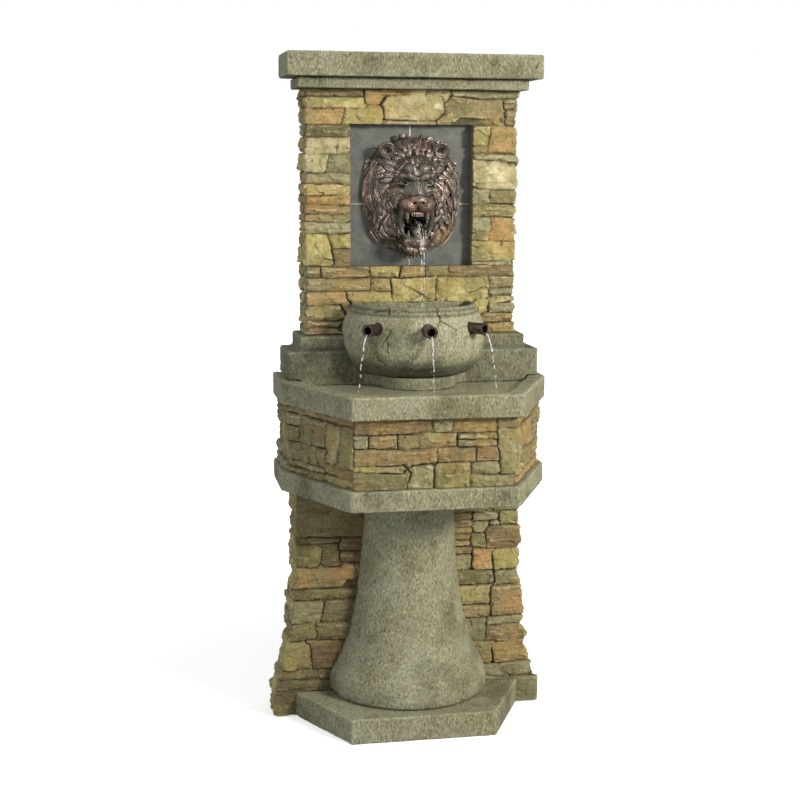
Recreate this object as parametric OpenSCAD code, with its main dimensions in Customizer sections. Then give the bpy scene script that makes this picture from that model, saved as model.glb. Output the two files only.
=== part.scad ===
// Free-standing wall fountain with a lion head mask, a bowl with three spouts and a half-octagon basin.
// Millimetres, +Z up, front towards -Y, origin on the floor at the centre of the footprint.
// Depths are given forward of the flat back, and the module from_back() turns them into the frame.

/* [Overall] */
// Height from the floor to the top of the cap
total_h = 1440; // [1430:1:1480]
// Half width over the lower wall's foot, the widest place; the basin above follows it
foot_half_w = 304; // [296:1:312]
// Wall thickness of the hollow castings
shell = 8; // [6:0.5:10]
// Gap left between a piece and the one it slides past or stands beside
clear = 0.3; // [0.2:0.05:0.6]

/* [Plinth and column] */
// Height of the plinth
plinth_h = 56; // [45:1:70]
// Half width of the plinth where it meets the wall
plinth_half_w = 253; // [240:1:270]
// Half width of the plinth's front face
plinth_half_front = 158; // [140:1:175]
// How far the plinth stands forward of the back
plinth_depth = 282; // [270:1:300]
// How far the column's axis lies forward of the back
column_axis = 80; // [70:1:90]
// Radius of the column's rolled foot
column_foot_r = 178; // [170:1:184]
// Radius of the column at its top
column_top_r = 101; // [90:1:110]
// Height of the column's rolled foot
column_foot_h = 78; // [60:1:90]

/* [Lower wall] */
// Depth of the lower wall with its stones
lower_depth = 96; // [90:1:110]
// Half width of the lower wall at its top, with its stones
lower_top_half_w = 255; // [250:1:260]

/* [Basin] */
// Height of the cornice's underside above the floor
cornice_z = 525; // [510:1:540]
// Thickness of the cornice
cornice_t = 44; // [38:1:50]
// How far the cornice's sides stand inside the lower wall's foot
cornice_in = 15; // [10:1:20]
// Depth of the cornice's side faces
cornice_side = 146; // [140:1:155]
// Half width of the cornice's front face
cornice_half_front = 176; // [170:1:185]
// How far the cornice stands forward of the back
cornice_depth = 376; // [370:1:382]
// Height of the stone band between cornice and rim
band_h = 144; // [130:1:160]
// How far the stone faces lie inside the cornice's edge
band_inset = 10; // [8:1:14]
// Thickness of the rim coping
rim_t = 48.5; // [40:0.5:56]
// How far the rim stands out past the cornice at the front
rim_overhang = 12; // [6:1:16]
// Width of the rim coping's top
rim_w = 38; // [32:1:44]

/* [Stepped block and bowl] */
// How far the lower step's sides stand inside the rim's
low_step_in = 16; // [12:1:22]
// Depth of the lower step
low_step_depth = 145; // [140:1:150]
// Height of the lower step above the rim
low_step_h = 59.5; // [50:0.5:70]
// How far the upper step's sides stand inside the lower step's
up_step_in = 27.5; // [22:0.5:34]
// Depth of the upper step
up_step_depth = 132; // [128:1:138]
// Height of the upper step
up_step_h = 31; // [24:1:40]
// How far the bowl's axis lies forward of the back
bowl_axis = 128; // [124:1:134]
// Largest radius of the bowl
bowl_r = 153; // [148:1:156]
// Radius of the bowl's rim band
bowl_rim_r = 132; // [126:1:138]
// Height of the bowl from the apron to the rim
bowl_h = 147; // [140:1:155]
// Wall thickness of the bowl
bowl_wall = 10; // [8:1:12]
// Height of the apron's top above the rim coping
apron_rise = 13.5; // [10:0.5:18]
// How far the apron stands forward of the back
apron_depth = 252; // [246:1:258]
// Outer radius of a spout
spout_r = 12; // [10:0.5:14]
// Bore radius of a spout
spout_bore_r = 8.5; // [6:0.5:9]
// How far a spout stands out of the bowl
spout_out = 30; // [24:1:36]
// Angle between the front spout and each side spout
spout_angle = 42; // [35:1:50]
// Height of the spouts above the bowl's foot
spout_rise = 103; // [98:1:108]

/* [Upper wall] */
// How far the upper wall's stones stand inside the upper step's sides
wall_in = 15.5; // [12:0.5:20]
// Depth of the upper wall with its stones
wall_depth = 104; // [98:1:110]
// Half width of the niche
niche_half_w = 132.6; // [128:0.1:136]
// Height of the niche as a share of the upper wall's
niche_share = 0.58; // [0.54:0.01:0.62]
// Wall over the niche as a share of the upper wall's height
lintel_share = 0.139; // [0.12:0.001:0.16]
// Depth of the slate tiles' face behind the wall's front
niche_depth = 29; // [24:1:34]
// Thickness of the slate tiles
tile_t = 6; // [5:0.5:8]
// Width of the joint between the tiles
tile_joint = 3; // [2:0.5:4]

/* [Cap] */
// How far the cap moulding stands out past the wall's sides
mould_out = 16.5; // [12:0.5:22]
// Depth of the cap moulding
mould_depth = 130; // [124:1:136]
// Height of the cap moulding
mould_h = 23; // [18:1:28]
// How far the cap slab stands out past the moulding's sides
cap_out = 25.5; // [20:0.5:32]
// Depth of the cap slab
cap_depth = 153; // [147:1:159]
// Height of the cap slab
cap_h = 51; // [45:1:57]

/* [Stones] */
// Thickness of the stone facing
stone_t = 12; // [10:1:14]
// Width of the joints between stones
stone_joint = 2.4; // [2:0.2:4]
// How far a stone's face may lie back from the front of the facing
stone_relief = 2.5; // [1:0.5:4]
// How far the hewn face of a stone falls away towards its edges
stone_fall = 3.5; // [1:0.5:5]
// How far the joints wander from straight lines
joint_wander = 4; // [0:0.5:5]

/* [Lion mask] */
// Half width of the mask over the mane
lion_half_w = 107; // [100:1:112]
// Height of the mask as a share of the niche's
lion_share = 0.889; // [0.84:0.001:0.92]
// How far the nose stands out from the tiles
lion_depth = 88; // [80:1:94]

/* [Pump and hose] */
// Length of the pump's motor housing
pump_l = 50; // [46:1:58]
// Depth of the pump
pump_w = 48; // [44:1:56]
// Height of the pump
pump_h = 54; // [50:1:62]
// Radius of the magnet rotor
rotor_r = 9; // [8:0.5:10]
// Radius of the impeller
impeller_r = 15; // [13:0.5:17]
// Outer radius of the hose
hose_r = 8; // [7:0.5:9]
// Bore radius of the hose
hose_bore_r = 6.5; // [5:0.5:7]
// Running clearance on the rotor's shaft
run_clear = 0.06; // [0.02:0.01:0.1]

/* [Rear door] */
// Width of the access door
door_w = 150; // [130:1:170]
// Height of the access door
door_h = 52; // [46:1:56]
// Thickness of the access door
door_t = 4; // [3:0.5:6]
// Bore radius of the grommet for the pump's lead
lead_bore_r = 4; // [3:0.5:5]

/* [Hidden] */
$fn = 96;
eps = 0.01;

// Heights of the seats between the castings
band_z = cornice_z + cornice_t;
rim_z = band_z + band_h;
rim_top = rim_z + rim_t;
low_step_top = rim_top + low_step_h;
step_top = low_step_top + up_step_h;
mould_z = total_h - cap_h - mould_h;
cap_z = total_h - cap_h;
wall_h = mould_z - step_top;
niche_top = mould_z - wall_h * lintel_share;
niche_h = wall_h * niche_share;
niche_z = niche_top - niche_h;
apron_top = rim_top + apron_rise;
bowl_top = apron_top + bowl_h;

// Half widths of the castings above the lower wall
cornice_half_w = foot_half_w - cornice_in;
low_step_half_w = cornice_half_w - low_step_in;
up_step_half_w = low_step_half_w - up_step_in;
wall_half_w = up_step_half_w - wall_in;
mould_half_w = wall_half_w + mould_out;
cap_half_w = mould_half_w + cap_out;

// The rim reaches furthest forward, so half its depth puts the origin at the footprint's centre
rim_depth = cornice_depth + rim_overhang;
back_y = rim_depth / 2;

// Plans of the half-octagons: half width, depth of the side faces, half width of the front, depth
cornice_plan = [cornice_half_w, cornice_side, cornice_half_front, cornice_depth];
rim_plan = [cornice_half_w, cornice_side, cornice_half_front, rim_depth];
lower_core_depth = lower_depth - stone_t;
plinth_plan = [plinth_half_w, lower_depth, plinth_half_front, plinth_depth];
core_inset = band_inset + stone_t;
rim_back_w = 20;
skirt_drop = 26.5;

// Lion mask, mouth and hose line
lion_h = niche_h * lion_share;
mask_z = niche_z + niche_h / 2 - 3;
tile_face = wall_depth - niche_depth;
tile_back = tile_face - tile_t;
bed_t = 6;
mouth_z = mask_z - lion_h * 0.19;
joint_z = niche_z + niche_h * 0.44;
pipe_r = 8;
pipe_bore_r = 5;
pipe_reach = 42;
hose_line = 42;
elbow_bend = 10;
tail_r = hose_bore_r - 0.15;

// Pump
feet_h = 6;
pump_z = band_z + shell + feet_h;
rotor_z = pump_z + pump_h / 2;
chamber_l = 14;
cover_l = 22;
cover_plate = 4;
cover_wall = 2.5;
outlet_h = 18;
shaft_r = 1.25;
outlet_bore_r = 4.5;
socket_l = 4;
end_wall = 8;

// Moves a piece drawn with its depths measured from the flat back into the frame
module from_back() {
    translate([0, back_y, 0]) children();
}

// Corner points of a half-octagon whose outline is drawn in by t, with its back edge at depth b
function half_octagon(p, t = 0, b = 0) = let(
    run = [p[0] - p[2], p[3] - p[1]],
    len = norm(run),
    n = [run[1] / len, run[0] / len],
    c = n[0] * p[0] + n[1] * p[1] - t,
    w = p[0] - t,
    d = p[3] - t,
    s = (c - n[0] * w) / n[1],
    f = (c - n[1] * d) / n[0]
) [[-w, -b], [-w, -s], [-f, -d], [f, -d], [w, -s], [w, -b]];

module slab(points, z0, z1) {
    translate([0, 0, z0]) linear_extrude(z1 - z0) polygon(points);
}

// Block between two depths, centred on x
module block(half_w, d0, d1, z0, z1) {
    translate([-half_w, -d1, z0]) cube([2 * half_w, d1 - d0, z1 - z0]);
}

// Rectangle with round corners, centred, of true arcs
module rounded_rect(w, h, r) {
    square([w - 2 * r, h], center = true);
    square([w, h - 2 * r], center = true);
    for (x = [-1, 1], y = [-1, 1])
        translate([x * (w / 2 - r), y * (h / 2 - r)]) circle(r);
}

// Stones

// Longest straight stretch of a stone's outline, and the chip off its corners
edge_step = 16;
corner_chip = 3;

// The joints of a face wander in one smooth field, so neighbouring stones stray together and never
// meet; keep, from 0 to 1, holds the field back where the face has a border
function wander(x, z, keep) = let(
    dx = sin(3.2 * z + 1.1 * x) + 0.5 * sin(5.3 * z - 2.3 * x + 50),
    dz = 0.5 * sin(3.3 * x + 1.7 * z + 20) + 0.3 * sin(6.1 * x + 130)
) [x + joint_wander * keep * dx / 1.5, z + joint_wander * keep * dz / 1.5];

// 0 on a border and 1 from fade millimetres off it
function held(distance, fade = 14) = max(0, min(1, distance / fade));

// Points from a towards b, without b
function edge_points(a, b) = let(n = max(1, ceil(norm(b - a) / edge_step)))
    [for (i = [0 : n - 1]) a + (b - a) * i / n];

// Outline of a stone inside the box from x0, z0 to x1, z1, with its corners chipped
function stone_outline(x0, z0, x1, z1) = let(
    g = stone_joint / 2,
    k = min(corner_chip, (z1 - z0) / 5, (x1 - x0) / 5),
    left = x0 + g,
    right = x1 - g,
    low = z0 + g,
    high = z1 - g,
    corners = [
        [left + k, low], [right - k, low], [right, low + k], [right, high - k],
        [right - k, high], [left + k, high], [left, high - k], [left, low + k]
    ],
    last = len(corners) - 1
) [for (i = [0 : last]) each edge_points(corners[i], corners[i == last ? 0 : i + 1])];

// Half-space under a plane that passes through the origin and falls by fall_x over the length
// half_x to the right and by fall_z over the length half_z upwards
module under_plane(half_x, fall_x, half_z, fall_z) {
    size = 1200;
    rotate([-atan(fall_z / half_z), atan(fall_x / half_x), 0])
        translate([-size / 2, -size / 2, -size]) cube(size);
}

// A stone standing out along -Y from a face drawn in x and z. Its hewn front is cut by three
// planes: one nearly level, and two that fall away to one side and to the top or the bottom
module stone(x0, z0, x1, z1, points, seed) {
    r = rands(0, 1, 5, seed);
    half_x = (x1 - x0) / 2;
    half_z = (z1 - z0) / 2;
    side = r[0] < 0.5 ? -1 : 1;
    up = r[1] < 0.6 ? 1 : -1;
    fall = stone_fall * (0.4 + 0.6 * r[2]);
    crest = stone_t - stone_relief * r[3];
    rotate([90, 0, 0]) intersection() {
        linear_extrude(stone_t) polygon(points);
        translate([(x0 + x1) / 2, (z0 + z1) / 2, crest]) intersection() {
            under_plane(half_x, -0.2 * side * fall, half_z, 0.15 * fall);
            translate([side * half_x * 0.2, 0, 0]) under_plane(half_x, side * fall, half_z, 0.1 * fall);
            translate([0, up * half_z * 0.3, 0]) under_plane(half_x, 0, half_z, up * fall);
        }
    }
}

// Children drawn along side i of a plan outline, cut to a mitre at both ends against its neighbours
module on_side(core, outer, i, z0, z1) {
    run = core[i + 1] - core[i];
    intersection() {
        slab([core[i], core[i + 1], outer[i + 1], outer[i]], z0, z1);
        translate([core[i][0], core[i][1], 0]) rotate([0, 0, atan2(run[1], run[0])]) children();
    }
}

// Upper wall

core_half_w = wall_half_w - stone_t;
core_depth = wall_depth - stone_t;

// The stone drawing is measured from the wall's middle and from the step's top, and is stretched
// between the bowl's and the niche's edges, the wall's sides, the step and the cap moulding
function wall_x(u) = lookup(u, [
    [-218, -core_half_w], [-155, -bowl_r - 2], [-132.6, -niche_half_w],
    [132.6, niche_half_w], [155, bowl_r + 2], [218, core_half_w]]);
function wall_z(v) = lookup(v, [
    [0, step_top], [71, bowl_top + 1], [144.5, niche_z], [442.5, niche_top], [514, mould_z]]);

// Each stone as left, bottom, right and top edge
wall_stones = [
    [-218, 498, -103, 514], [-103, 488, 45, 514], [45, 480, 83, 514], [83, 501, 218, 514],
    [83, 472, 201, 501], [201, 478, 218, 501], [-218, 476, -103, 498], [-218, 442.5, -151, 476],
    [-151, 442.5, -65, 476], [-65, 450, 53, 488], [-65, 442.5, 53, 450], [53, 442.5, 91, 480],
    [91, 442.5, 177, 472], [177, 442.5, 204, 472], [204, 442.5, 218, 478],
    [-218, 416, -132.6, 442.5], [-218, 381, -132.6, 416], [-218, 344, -185, 381],
    [-185, 344, -132.6, 381], [-218, 319, -132.6, 344], [-218, 296, -132.6, 319],
    [-218, 275, -132.6, 296], [-218, 257, -132.6, 275], [-218, 240, -132.6, 257],
    [-218, 216, -132.6, 240], [-218, 149, -175, 216], [-175, 185, -132.6, 216],
    [-175, 144.5, -132.6, 185],
    [132.6, 399, 169, 442.5], [169, 383, 218, 442.5], [132.6, 383, 169, 399],
    [132.6, 369, 218, 383], [132.6, 307, 218, 369], [132.6, 277, 171, 307], [171, 277, 218, 307],
    [132.6, 249, 218, 277], [132.6, 216, 173, 249], [173, 198, 218, 249], [132.6, 198, 173, 216],
    [132.6, 153, 218, 198], [132.6, 144.5, 218, 153],
    [-218, 123, -199, 149], [-199, 123, -95, 144.5], [-95, 123, -23, 144.5],
    [-23, 123, 32, 144.5], [32, 123, 84, 144.5], [84, 121, 218, 144.5],
    [-218, 94, -93, 123], [-93, 94, -46, 123], [-46, 72, 56, 123], [56, 72, 173, 121],
    [173, 95, 218, 121], [173, 79, 218, 95], [173, 63, 218, 79],
    [-218, 63, -140, 94], [-140, 72, -46, 94], [-218, 30, -155, 63], [-218, 14, -155, 30],
    [-218, 1, -155, 14], [173, 41, 218, 63], [144, 43, 173, 72], [156, 21, 218, 41],
    [156, 1, 218, 21]
];

// Levels of the courses on the side faces, above the step's top
wall_courses = [
    1, 18, 40, 63, 94, 123, 150, 185, 216, 240, 257, 275, 296, 319, 344, 381, 416, 442, 476, 498, 514
];

wall_core = [[-core_half_w, -1], [-core_half_w, -core_depth], [core_half_w, -core_depth], [core_half_w, -1]];
wall_outer = [[-wall_half_w, -1], [-wall_half_w, -wall_depth], [wall_half_w, -wall_depth], [wall_half_w, -1]];

// How far the wander is held back by the borders of the niche, the bowl, the step and the cap
function wall_keep(x, z) = let(
    niche = max(abs(x) - niche_half_w, niche_z - z, z - niche_top),
    bowl = max(abs(x) - bowl_r - 2, z - bowl_top - 1)
) held(min(niche, bowl, z - step_top, mould_z - z));

module upper_stones_front() {
    color("darkkhaki") from_back() on_side(wall_core, wall_outer, 1, step_top, mould_z)
        translate([core_half_w, 0, 0])
            for (i = [0 : len(wall_stones) - 1]) let(
                s = wall_stones[i],
                x0 = wall_x(s[0]) - (s[0] < -217 ? stone_t + stone_joint : 0),
                x1 = wall_x(s[2]) + (s[2] > 217 ? stone_t + stone_joint : 0),
                z0 = wall_z(s[1]),
                z1 = wall_z(s[3])
            )
                stone(x0, z0, x1, z1, [
                    for (p = stone_outline(x0, z0, x1, z1)) wander(p[0], p[1], wall_keep(p[0], p[1]))
                ], i);
}

// Side stones of the upper wall, one or two in a course, as long as the wall is deep
module upper_side_stones(i, seed) {
    long = wall_depth + stone_t;
    color("darkkhaki") from_back() on_side(wall_core, wall_outer, i, step_top, mould_z)
        for (k = [0 : len(wall_courses) - 2]) let(
            z0 = wall_z(wall_courses[k]),
            z1 = wall_z(wall_courses[k + 1]),
            part = rands(0.35, 0.75, 1, seed + k)[0],
            ends = k % 3 == 0 ? [-stone_t, long] : [-stone_t, part * core_depth, long]
        )
            for (n = [0 : len(ends) - 2])
                stone(ends[n], z0, ends[n + 1], z1, [
                    for (p = stone_outline(ends[n], z0, ends[n + 1], z1))
                        wander(p[0], p[1], held(min(p[1] - step_top, mould_z - p[1])))
                ], seed + 2 * k + n);
}

module upper_side_stones_left() { upper_side_stones(0, 700); }

module upper_side_stones_right() { upper_side_stones(2, 760); }

// Hollow wall casting, open below, with the niche let into its front
module upper_wall_shell() {
    color("dimgray") from_back() difference() {
        block(core_half_w, 0, core_depth, step_top, mould_z);
        difference() {
            block(core_half_w - shell, shell, core_depth - shell, step_top - eps, mould_z - shell);
            block(niche_half_w + bed_t, tile_back - bed_t, core_depth, niche_z - bed_t, niche_top + bed_t);
        }
        block(niche_half_w, tile_back, core_depth + eps, niche_z, niche_top);
        mouth_hole();
    }
}

// Way through the bed, the tiles and the mask for the mouth pipe
module mouth_hole() {
    translate([0, -shell - 1, mouth_z]) rotate([90, 0, 0]) cylinder(r = pipe_r + 0.15, h = wall_depth);
}

// Four slate tiles with open joints between them
module niche_tiles() {
    tile_w = niche_half_w - tile_joint / 2 - clear;
    color("slategray") from_back() difference() {
        for (side = [-1, 1]) {
            x0 = side > 0 ? tile_joint / 2 : -tile_joint / 2 - tile_w;
            translate([x0, -tile_face, niche_z + clear])
                cube([tile_w, tile_t, joint_z - tile_joint / 2 - niche_z - clear]);
            translate([x0, -tile_face, joint_z + tile_joint / 2])
                cube([tile_w, tile_t, niche_top - clear - joint_z - tile_joint / 2]);
        }
        mouth_hole();
    }
}

// Lion mask: a relief over the tiles, worked out from its named forms. The forms are drawn for a
// mask of 107 mm half width and 265 mm height, and stretched to the mask's own size.
lion_rings = 34;
lion_spokes = 120;
mask_half_w = 107;
mask_h = 265;

// Angle away from the mask's crown, the same on both sides
function from_crown(a) = abs((a + 270) % 360 - 180);

// Half width of the mane's outline towards the angle a, counted from +X, with the tips of its locks
function mane_r(a) = mask_half_w * (0.97 + 0.21 * pow(abs(sin(a)), 3)
    + 0.022 * cos(17 * from_crown(a)) - 0.05 * exp(-pow((a - 270) / 24, 2)));

// Greater of two heights, with a fillet about k wide where they cross
function blended(a, b, k = 5) = max(a, b) + pow(max(0, k - abs(a - b)), 2) / (4 * k);

// Heights blended one after another, from the first up to number i
function blended_all(h, i) = i == 0 ? h[0] : blended(blended_all(h, i - 1), h[i]);

// Soft bump, and an egg-shaped boss of the height top over the height low, at cx, cz with the half
// axes rx, rz
function bump(x, z, cx, cz, rx, rz) = exp(-pow((x - cx) / rx, 2) - pow((z - cz) / rz, 2));
function boss(x, z, cx, cz, rx, rz, low, top) =
    let(d = 1 - pow((x - cx) / rx, 2) - pow((z - cz) / rz, 2))
    d > 0 ? low + (top - low) * sqrt(d) : low + 12 * d * (1 + low / 20);

// 0 below and 1 above the edge, over a width of about w
function step01(v, w) = 1 / (1 + exp(-max(-30, min(30, v / w))));

// Mane: two tiers of locks that leave the face outwards and sweep down on both sides
function mane_height(rho, down) = let(
    flow = 10 * down + 190 * rho * sin(down),
    tips = 0.035 * cos(20 * down),
    tier = step01(0.76 + tips - rho, 0.012)
) 6 + 40 * pow(max(0, 1 - rho * rho), 0.62) + 7 * tier
    + step01(rho - 0.42, 0.05) * (5.5 * abs(sin(flow + 90 * tier)) - 3 + 1.3 * sin(3.1 * flow));

// The face from its bosses; x is measured to one side, as both sides are alike
function face_height(x, z) = let(h = [
    boss(x, z, 0, 42, 46, 46, 40, 72),
    boss(x, z, 34, 2, 25, 30, 34, 62),
    boss(x, z, 0, 18, 13, 46, 52, 80),
    boss(x, z, 16, -19, 21, 19, 50, 84),
    boss(x, z, 0, -8, 14, 12, 62, 91),
    boss(x, z, 24, 47, 20, 8, 60, 80),
    boss(x, z, 0, -99, 25, 19, 36, 66),
    boss(x, z, 30, -58, 10, 36, 40, 62),
    boss(x, z, 61, 97, 20, 20, 26, 54)
]) blended_all(h, len(h) - 1);

// What is raised and cut on the face: eyeballs and sockets, nostrils, the lip's cleft, the
// brow's furrow, and the hollow of the ears
function face_forms(x, z) = 9 * bump(x, z, 31, 34, 6.5, 5) - 16 * bump(x, z, 31, 34, 12, 8)
    - 8 * bump(x, z, 8, -14, 4, 3) - 5 * bump(x, z, 0, -29, 3, 9) - 5 * bump(x, z, 0, 66, 4, 18)
    - 18 * bump(x, z, 64, 96, 8, 10);

// Floor of the open mouth, with the tongue
function mouth_height(x, z) = max(14, boss(x, z, 0, -80, 17, 11, 24, 50));

// Height of the relief over the tiles at x_at and z_at from the mask's centre
function lion_height(x_at, z_at, rho, a) = let(
    x = abs(x_at * mask_half_w / lion_half_w),
    z = z_at * mask_h / lion_h,
    skin = blended(mane_height(rho, from_crown(a)), face_height(x, z)) + face_forms(x, z),
    mouth = step01(1 - pow(x / 27, 4) - pow((z + 59) / 24, 4), 0.06)
) (skin * (1 - mouth) + mouth_height(x, z) * mouth) * lion_depth / 92;

module lion_mask() {
    front = [for (i = [1 : lion_rings], j = [0 : lion_spokes - 1]) let(
        a = 360 * j / lion_spokes,
        rho = i / lion_rings,
        r = mane_r(a) * rho,
        x = r * cos(a) * lion_half_w / mask_half_w,
        z = r * sin(a) * lion_h / mask_h
    ) [x, -lion_height(x, z, rho, a), z]];
    last = lion_rings * lion_spokes;
    edge = [for (j = [0 : lion_spokes - 1]) let(p = front[last - lion_spokes + j]) [p[0], 0, p[2]]];
    points = concat(front, edge, [[0, -lion_height(0, 0, 0, 0), 0], [0, 0, 0]]);
    function at(i, j) = i * lion_spokes + j % lion_spokes;
    function step_between(a, b) = abs(points[a][1] - points[b][1]);
    faces = concat(
        [for (i = [0 : lion_rings - 1], j = [0 : lion_spokes - 1]) let(
            a = at(i, j),
            b = at(i, j + 1),
            c = at(i + 1, j + 1),
            d = at(i + 1, j)
        )
            each step_between(a, c) <= step_between(b, d) ? [[a, b, c], [a, c, d]] : [[a, b, d], [b, c, d]]],
        [for (j = [0 : lion_spokes - 1]) [last + lion_spokes, at(0, j + 1), at(0, j)]],
        [for (j = [0 : lion_spokes - 1])
            [last + lion_spokes + 1, at(lion_rings, j), at(lion_rings, j + 1)]]
    );
    color("saddlebrown") from_back() difference() {
        translate([0, -tile_face, mask_z]) polyhedron(points, faces);
        mouth_hole();
    }
}

// Pipe through the niche's bed and the mask's throat, with a flange and a tail for the elbow
module mouth_pipe() {
    flange_t = 3;
    bed_back = tile_back - bed_t;
    color("peru") from_back() translate([0, 0, mouth_z]) rotate([90, 0, 0]) difference() {
        union() {
            translate([0, 0, bed_back]) cylinder(r = pipe_r, h = tile_face + pipe_reach - bed_back);
            translate([0, 0, bed_back - flange_t]) cylinder(r = pipe_r + 5, h = flange_t);
            translate([0, 0, hose_line + elbow_bend + 0.5])
                cylinder(r = tail_r, h = bed_back - hose_line - elbow_bend - 0.5);
        }
        translate([0, 0, hose_line]) cylinder(r = pipe_bore_r, h = wall_depth + pipe_reach);
    }
}

// Cap

module cap_moulding() {
    color("darkgray") from_back() block(mould_half_w, 0, mould_depth, mould_z, cap_z);
}

module cap_slab() {
    color("darkgray") from_back() block(cap_half_w, 0, cap_depth, cap_z, total_h);
}

// Stepped block, open below, with the rear door's opening and the hose's hole

skirt_half_w = cornice_half_w - rim_w - 5;
door_z = (rim_top + step_top) / 2;
door_lip = 8;
grommet_x = door_w / 2 + 30;

module step_block() {
    color("gray") from_back() difference() {
        union() {
            block(low_step_half_w, 0, low_step_depth, rim_top, low_step_top);
            block(up_step_half_w, 0, up_step_depth, low_step_top - eps, step_top);
            block(skirt_half_w, rim_back_w + 1, low_step_depth, rim_top - skirt_drop, rim_top + eps);
        }
        block(skirt_half_w - shell, rim_back_w + 1 + shell, low_step_depth - shell,
            rim_top - skirt_drop - eps, rim_top + shell);
        block(low_step_half_w - shell, shell, low_step_depth - shell, rim_top + shell, low_step_top - shell);
        block(up_step_half_w - shell, shell, up_step_depth - shell,
            low_step_top - shell - eps, step_top - shell);
        translate([0, -hose_line, step_top - shell - eps]) cylinder(r = hose_r + 3, h = shell + 2 * eps);
        block(door_w / 2, -eps, door_t, door_z - door_h / 2, door_z + door_h / 2);
        block(door_w / 2 - door_lip, -eps, shell + eps,
            door_z - door_h / 2 + door_lip, door_z + door_h / 2 - door_lip);
        translate([grommet_x, eps, door_z]) rotate([90, 0, 0])
            cylinder(r = lead_bore_r + 3, h = shell + 2 * eps);
    }
}

module access_door() {
    gap = 0.5;
    color("dimgray") from_back() difference() {
        block(door_w / 2 - gap, 0, door_t - clear, door_z - door_h / 2 + gap, door_z + door_h / 2 - gap);
        translate([0, eps, door_z]) rotate([90, 0, 0]) cylinder(r = 9, h = door_t + eps);
    }
}

module lead_grommet() {
    color("black") from_back() translate([grommet_x, 0, door_z]) rotate([90, 0, 0]) difference() {
        union() {
            cylinder(r = lead_bore_r + 2.9, h = shell);
            translate([0, 0, shell]) cylinder(r = lead_bore_r + 6, h = 3);
        }
        translate([0, 0, -eps]) cylinder(r = lead_bore_r, h = shell + 3 + 2 * eps);
    }
}

// Bowl

belly_h = bowl_h * 0.565;
neck_h = bowl_h - 18;
neck_r = bowl_rim_r + 4;
bowl_foot_r = bowl_r * 0.69;

// Outline of the bowl's outside, from its foot up to the rim
bowl_outline = concat(
    [for (i = [0 : 12]) let(a = 90 * i / 12)
        [bowl_foot_r + (bowl_r - bowl_foot_r) * sin(a), belly_h * (1 - cos(a))]],
    [for (i = [1 : 7]) let(a = 66 * i / 7)
        [neck_r + (bowl_r - neck_r) * (cos(a) - cos(66)) / (1 - cos(66)),
         belly_h + (neck_h - belly_h) * sin(a) / sin(66)]],
    [[neck_r - 3, neck_h + 1], [neck_r - 3, neck_h + 3], [neck_r, neck_h + 4], [neck_r, neck_h + 7],
     [bowl_rim_r - 2, neck_h + 8], [bowl_rim_r - 2, neck_h + 10], [bowl_rim_r, neck_h + 11],
     [bowl_rim_r, bowl_h]]
);

// Inside of the bowl, a wall's thickness in
bowl_inside = concat(
    [[0, bowl_wall]],
    [for (i = [0 : 12]) let(a = 90 * i / 12)
        [bowl_foot_r - bowl_wall + (bowl_r - bowl_foot_r) * sin(a),
         bowl_wall + (belly_h - bowl_wall) * (1 - cos(a))]],
    [for (i = [1 : 7]) let(a = 66 * i / 7)
        [neck_r - bowl_wall + (bowl_r - neck_r) * (cos(a) - cos(66)) / (1 - cos(66)),
         belly_h + (neck_h - belly_h) * sin(a) / sin(66)]],
    [[bowl_rim_r - bowl_wall - 2, bowl_h + 1], [0, bowl_h + 1]]
);

spout_z = apron_top + spout_rise;

module at_spout(angle) {
    translate([0, -bowl_axis, spout_z]) rotate([0, 0, angle]) rotate([90, 0, 0]) children();
}

// Space taken by the wall and the stepped block behind the bowl
module behind_bowl(grow) {
    block(2 * bowl_r, -bowl_r, core_depth + grow, 0, bowl_top + 1);
    block(2 * bowl_r, -bowl_r, up_step_depth + grow, 0, step_top + grow);
    block(2 * bowl_r, -bowl_r, low_step_depth + grow, 0, low_step_top + grow);
}

module bowl() {
    color("gray") from_back() difference() {
        translate([0, -bowl_axis, apron_top]) rotate_extrude()
            polygon(concat([[0, 0]], bowl_outline, [[0, bowl_h]]));
        behind_bowl(0);
        difference() {
            translate([0, -bowl_axis, apron_top]) rotate_extrude() polygon(bowl_inside);
            behind_bowl(bowl_wall);
        }
        for (angle = [-spout_angle, 0, spout_angle])
            at_spout(angle) translate([0, 0, bowl_foot_r]) cylinder(r = spout_r + 0.15, h = bowl_r);
    }
}

// Short pipe with a bead round its mouth
module spout(angle) {
    reach = bowl_r + spout_out;
    start = bowl_r - bowl_wall - 8;
    bead = 3;
    color("sienna") from_back() at_spout(angle) difference() {
        union() {
            translate([0, 0, start]) cylinder(r = spout_r, h = reach - start);
            translate([0, 0, reach - bead]) cylinder(r = spout_r + 1.5, h = bead);
        }
        translate([0, 0, start - eps]) cylinder(r = spout_bore_r, h = reach);
    }
}

module spout_left() { spout(-spout_angle); }

module spout_front() { spout(0); }

module spout_right() { spout(spout_angle); }

// Curved foot under the bowl, blended into the stepped block's front
module bowl_apron() {
    r = bowl_r * 0.535;
    fillet = r / 2;
    color("gray") from_back() translate([0, 0, rim_top - skirt_drop]) linear_extrude(skirt_drop + apron_rise)
        difference() {
            offset(r = -fillet) offset(delta = fillet) {
                translate([0, r - apron_depth]) circle(r);
                translate([-2 * r, -low_step_depth]) square([4 * r, fillet]);
            }
            translate([-3 * r, -low_step_depth]) square([6 * r, r]);
        }
}

// Basin

module cornice() {
    color("gray") from_back() slab(half_octagon(cornice_plan), cornice_z, band_z);
}

module basin_shell() {
    color("gray") from_back() difference() {
        slab(half_octagon(cornice_plan, core_inset), band_z, rim_z);
        slab(half_octagon(cornice_plan, core_inset + shell, shell), band_z + shell, rim_z + eps);
    }
}

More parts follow.
